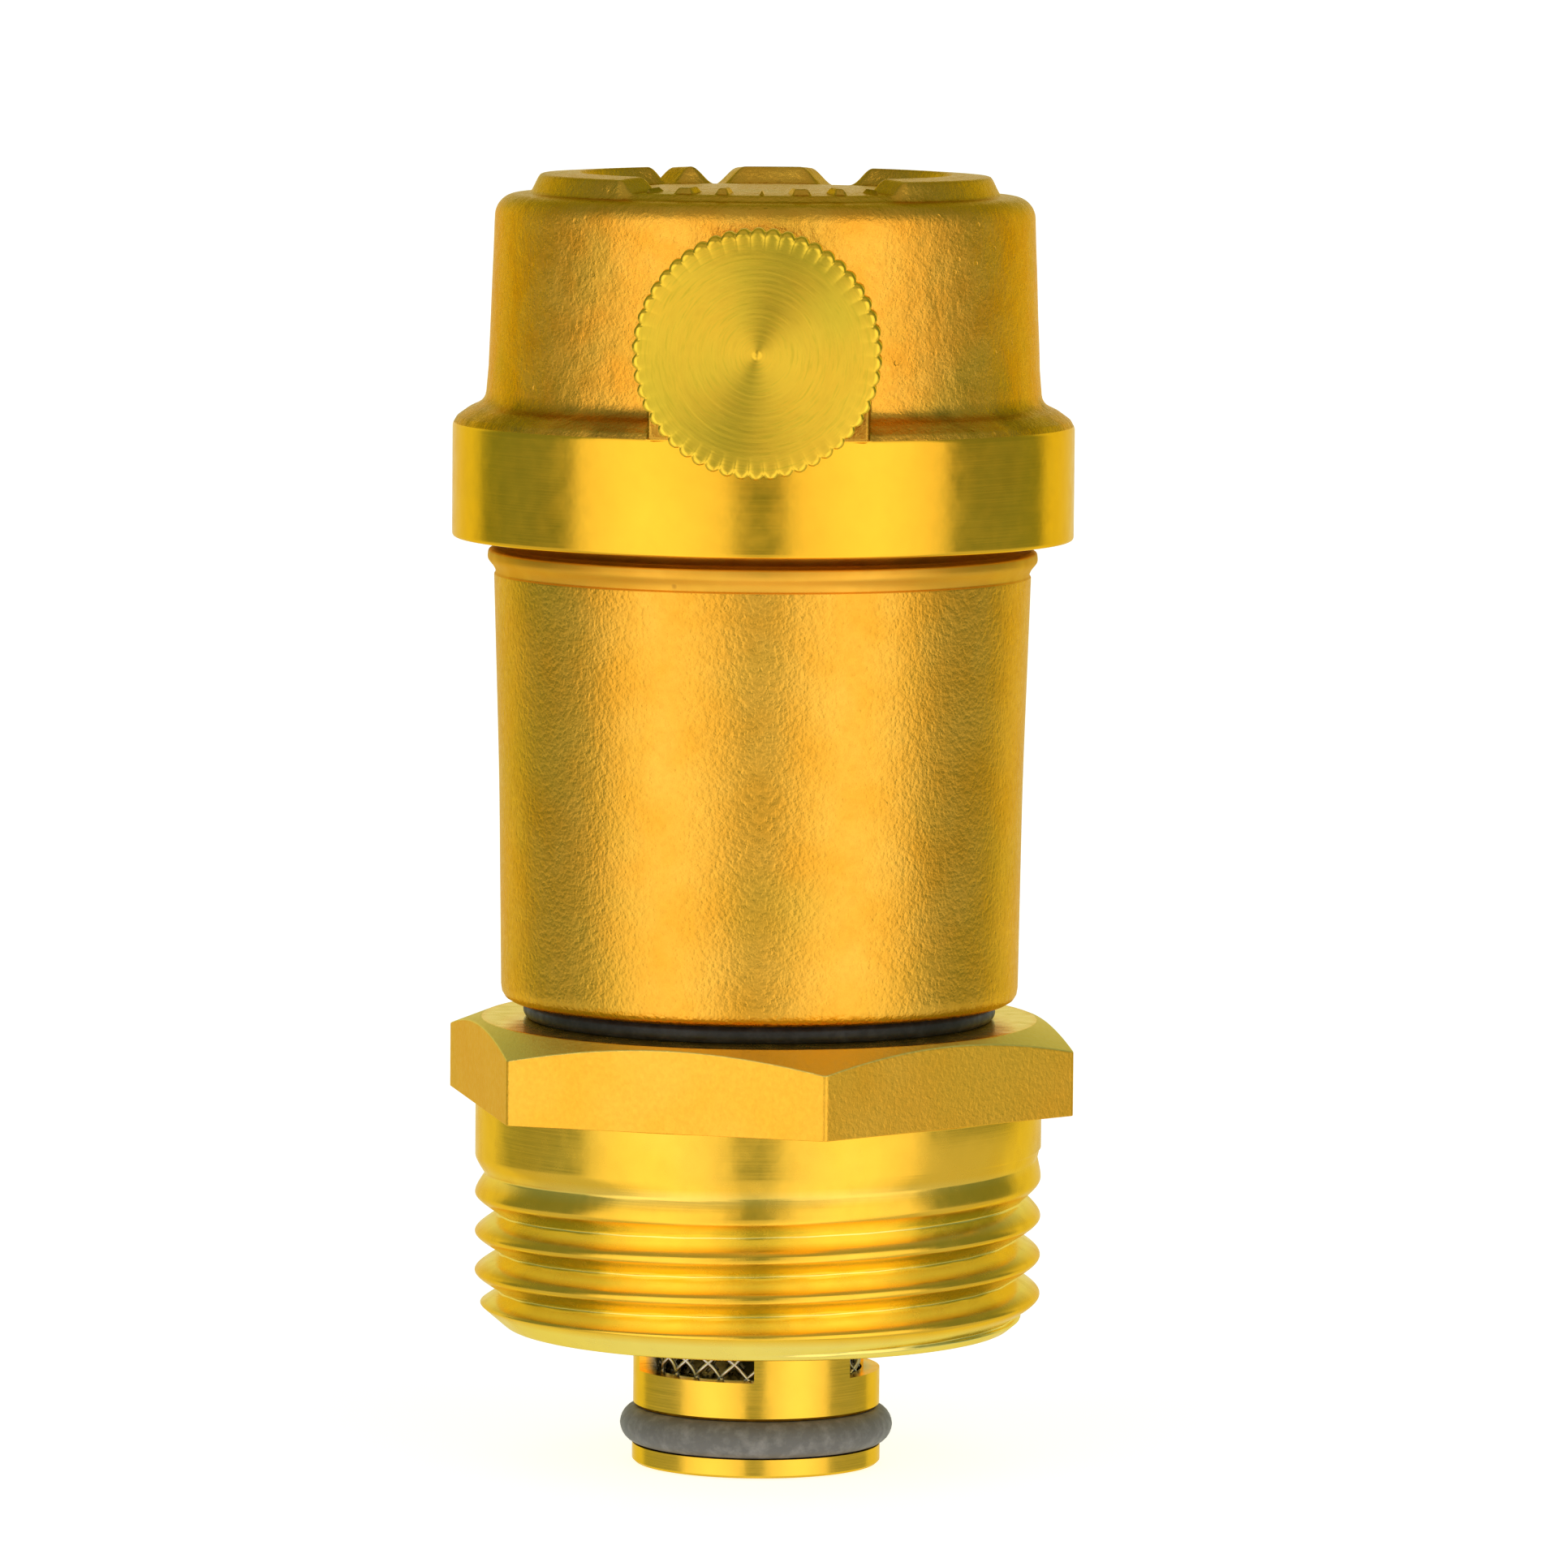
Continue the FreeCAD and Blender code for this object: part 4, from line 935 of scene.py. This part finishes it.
def tube(path, radius, sides):
    """Vertices and faces of a round tube along a path that runs round the Z axis."""
    ahead = np.gradient(path, axis=0)
    ahead /= np.linalg.norm(ahead, axis=1)[:, None]
    outward = path * (1, 1, 0)
    outward /= np.linalg.norm(outward, axis=1)[:, None]
    across = np.cross(ahead, outward)
    across /= np.linalg.norm(across, axis=1)[:, None]
    outward = np.cross(across, ahead)
    turn = np.arange(sides) * TURN / sides
    circle = across[:, None] * np.cos(turn)[:, None] + outward[:, None] * np.sin(turn)[:, None]
    vertices = (path[:, None] + radius * circle).reshape(-1, 3)
    faces = []
    for i in range(len(path) - 1):
        for j in range(sides):
            k = (j + 1) % sides
            faces.append([i * sides + j, (i + 1) * sides + j, (i + 1) * sides + k, i * sides + k])
    faces.append(list(range(sides)))
    faces.append([(len(path) - 1) * sides + j for j in reversed(range(sides))])
    return vertices, faces


def make_strainer(material):
    low, high = span("strainer_mesh")
    middle = high.x - 2 * WIRE_RADIUS - 0.01
    vertices, faces = [], []
    count = 0
    for sense in (-1, 1):
        for i in range(WIRE_COUNT):
            start = TURN * (i + 0.25 * sense) / WIRE_COUNT
            path = wire_path(start, sense, low.z + WIRE_RADIUS, high.z - WIRE_RADIUS, middle)
            points, sides = tube(path, WIRE_RADIUS, WIRE_SIDES)
            faces += [[v + count for v in side] for side in sides]
            vertices.append(points * MM)
            count += len(points)
    piece = mesh_piece("strainer_wires", np.concatenate(vertices), faces)
    finish_piece(piece, "strainer_mesh", "spool", [material])


def dress_cad_nodes(materials):
    """Materials of the CAD nodes that are shown as they are."""
    for node, material in materials.items():
        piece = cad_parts[node]
        piece.data.materials.clear()
        piece.data.materials.append(material)


# --- Studio -------------------------------------------------------------------------------------------

CAMERA_DISTANCE = 0.6176
CAMERA_LENS = 242.0
CAMERA_ELEVATION = math.radians(5.33)
CAMERA_AZIMUTH = math.radians(0.85)
CAMERA_ROLL = math.radians(0.46)
CAMERA_TARGET = (0.00135, 0.0, 0.01873)

FLOOR_GLOW = 0.68
FLOOR_HALF = 12.0

# Soft edges on the sky: place and width, in degrees round from the camera's side or up from the horizon
SOFTBOX_INNER = (9.0, 3.0)
SOFTBOX_FADE_IN = (24.0, 34.0)
SOFTBOX_FADE_OUT = (58.0, 30.0)
SOFTBOX_OUTER = (73.0, 4.0)
SOFTBOX_TOP = (42.0, 26.0)
BACKDROP_START = (128.0, 8.0)
BACKDROP_TOP = (24.0, 24.0)
CEILING_START = (55.0, 24.0)
FLOOR_EDGE = (9.0, 12.0)    # down from the horizon

SOFTBOX_LIGHT = (1.42, 1.38, 1.3, 1.0)
SOFTBOX_EDGE_LIGHT = (1.06, 1.05, 0.95, 1.0)
ROOM_LIGHT = (0.21, 0.28, 0.22, 1.0)
FLOOR_LIGHT = (0.62, 0.66, 0.6, 1.0)
BACKDROP_LIGHT = (0.85, 0.87, 0.7, 1.0)
CEILING_LIGHT = (0.45, 0.46, 0.38, 1.0)


def make_camera():
    data = bpy.data.cameras.new("camera")
    data.lens = CAMERA_LENS
    data.sensor_width = 36.0
    data.clip_start = 0.01
    data.clip_end = 50
    camera = bpy.data.objects.new("camera", data)
    bpy.context.scene.collection.objects.link(camera)
    back = Vector((math.sin(CAMERA_AZIMUTH) * math.cos(CAMERA_ELEVATION),
                   -math.cos(CAMERA_AZIMUTH) * math.cos(CAMERA_ELEVATION), math.sin(CAMERA_ELEVATION)))
    aim = back.to_track_quat("Z", "Y").to_matrix().to_4x4()
    roll = Matrix.Rotation(CAMERA_ROLL, 4, "Z")
    camera.matrix_world = Matrix.Translation(Vector(CAMERA_TARGET) + back * CAMERA_DISTANCE) @ aim @ roll
    bpy.context.scene.camera = camera


def make_floor(height):
    mesh = bpy.data.meshes.new("floor")
    corners = [(x * FLOOR_HALF, y * FLOOR_HALF, height) for x, y in ((-1, -1), (1, -1), (1, 1), (-1, 1))]
    mesh.from_pydata(corners, [], [(0, 1, 2, 3)])
    floor = bpy.data.objects.new("floor", mesh)
    bpy.context.scene.collection.objects.link(floor)
    shader = Shader("floor_paper", Roughness=0.9, Emission_Strength=FLOOR_GLOW)
    shader.surface.inputs["Emission Color"].default_value = tone(1.0, 1.0, 1.0)
    shader.colour(tone(0.9, 0.9, 0.9))
    mesh.materials.append(shader.material)
    floor.visible_glossy = False
    floor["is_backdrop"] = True


class Sky(NodeTree):
    """The world's light, by direction."""

    def __init__(self):
        world = bpy.data.worlds.new("studio")
        super().__init__(world)
        bpy.context.scene.world = world

    def edge(self, value, place, width):
        """0 below the place, 1 above it, with a soft edge."""
        node = self.nodes.new("ShaderNodeMapRange")
        node.interpolation_type = "SMOOTHSTEP"
        self.links.new(value, node.inputs["Value"])
        node.inputs["From Min"].default_value = place - 0.5 * width
        node.inputs["From Max"].default_value = place + 0.5 * width
        return node.outputs["Result"]


def make_studio():
    """Two tall softboxes either side of the camera, a dim room beside the vent, and a pale backdrop.

    The camera itself sees plain white behind the vent.
    """
    sky = Sky()
    place = sky.nodes.new("ShaderNodeTexCoord")
    x, y, z = sky.split(place.outputs["Generated"])
    radians = sky.number("ARCTAN2", x, sky.number("MULTIPLY", y, -1.0))
    azimuth = sky.number("ABSOLUTE", sky.number("DEGREES", radians))
    elevation = sky.number("DEGREES", sky.number("ARCSINE", z))
    low_fill = sky.edge(sky.number("MULTIPLY", elevation, -1.0), *FLOOR_EDGE)
    room = sky.mix(low_fill, ROOM_LIGHT, FLOOR_LIGHT)
    boxes = sky.mix(sky.edge(azimuth, *SOFTBOX_FADE_IN), SOFTBOX_EDGE_LIGHT, SOFTBOX_LIGHT)
    boxes = sky.mix(sky.edge(azimuth, *SOFTBOX_FADE_OUT), boxes, SOFTBOX_EDGE_LIGHT)
    beside = sky.number("SUBTRACT", 1.0, sky.edge(azimuth, *SOFTBOX_OUTER))
    below_top = sky.number("SUBTRACT", 1.0, sky.edge(elevation, *SOFTBOX_TOP))
    across = sky.number("MULTIPLY", sky.edge(azimuth, *SOFTBOX_INNER), beside)
    share = sky.number("MULTIPLY", across, below_top)
    colour = sky.mix(share, room, boxes)
    low_backdrop = sky.number("SUBTRACT", 1.0, sky.edge(elevation, *BACKDROP_TOP))
    behind = sky.number("MULTIPLY", sky.edge(azimuth, *BACKDROP_START), low_backdrop)
    colour = sky.mix(behind, colour, BACKDROP_LIGHT)
    colour = sky.mix(sky.edge(elevation, *CEILING_START), colour, CEILING_LIGHT)
    light = sky.nodes["Background"]
    sky.links.new(colour, light.inputs["Color"])
    white = sky.nodes.new("ShaderNodeBackground")
    rays = sky.nodes.new("ShaderNodeLightPath")
    mix = sky.nodes.new("ShaderNodeMixShader")
    sky.links.new(rays.outputs["Is Camera Ray"], mix.inputs["Fac"])
    sky.links.new(light.outputs["Background"], mix.inputs[1])
    white.inputs["Color"].default_value = (1.0, 1.0, 1.0, 1.0)
    sky.links.new(white.outputs["Background"], mix.inputs[2])
    sky.links.new(mix.outputs["Shader"], sky.nodes["World Output"].inputs["Surface"])
    bpy.context.scene.view_settings.view_transform = "Standard"


def main():
    turned_metal = turned_brass("brass_turned")
    black_rubber = rubber("rubber_black", (0.012, 0.012, 0.014), (0.035, 0.035, 0.038), 0.42)
    # Painted light: the O-ring's rubber is lighter grey than the black gasket, standing in for a white haze
    # over black rubber.
    hazed_rubber = rubber("rubber_painted_haze", (0.13, 0.125, 0.12), (0.24, 0.23, 0.22), 0.45)
    fibre = pressed_fibre("fibre_red")
    drawn_steel = steel("steel_drawn")
    plastic = moulded_plastic("plastic_float", (0.8, 0.78, 0.7))
    # The pipe's brass carries a painted highlight in its thread's grooves.
    pipe_metal = turned_brass("brass_pipe", PIPE_BRASS, 0.18, 0.3, layers=painted_groove_light)
    make_adapter([pipe_metal, blasted_brass("brass_blasted")])
    # The lip's brass carries patchy painted shade on the neck under the cover's edge.
    lip_metal = turned_brass("brass_lip", SMOOTH_CASTING, 0.4, 0.52, layers=painted_neck_shade)
    make_body([peened_brass("brass_peened"), lip_metal])
    make_cover([turned_metal, sand_cast_brass("brass_sand_cast")])
    make_knob([turned_brass("brass_knob", FACED_BRASS, 0.2, 0.32), faced_brass("brass_faced")])
    make_gasket(black_rubber)
    make_o_ring(hazed_rubber)
    make_strainer(steel("steel_wire", 0.25, 0.45, (0.72, 0.7, 0.66)))
    dress_cad_nodes({
        # The spool's brass carries painted shade in its bore.
        "shutoff_spool": turned_brass("brass_spool", PIPE_BRASS, 0.16, 0.26, layers=shaded_spool_bore),
        "spool_spring": drawn_steel,
        "cover_seal": fibre,
        "vent_nozzle": turned_metal,
        "nozzle_washer": fibre,
        "cap_seal": black_rubber,
        "float_shell": plastic,
        "float_cap": plastic,
        "float_hook_pin": drawn_steel,
        "float_lever": turned_brass("brass_lever", TURNED_BRASS, 0.22, 0.36),
        "valve_pad": black_rubber,
        "lever_pin": drawn_steel,
        "lever_bracket": drawn_steel,
        "bracket_clip": drawn_steel,
    })
    make_floor(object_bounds()[0].z - 0.0001)
    make_camera()
    make_studio()


main()
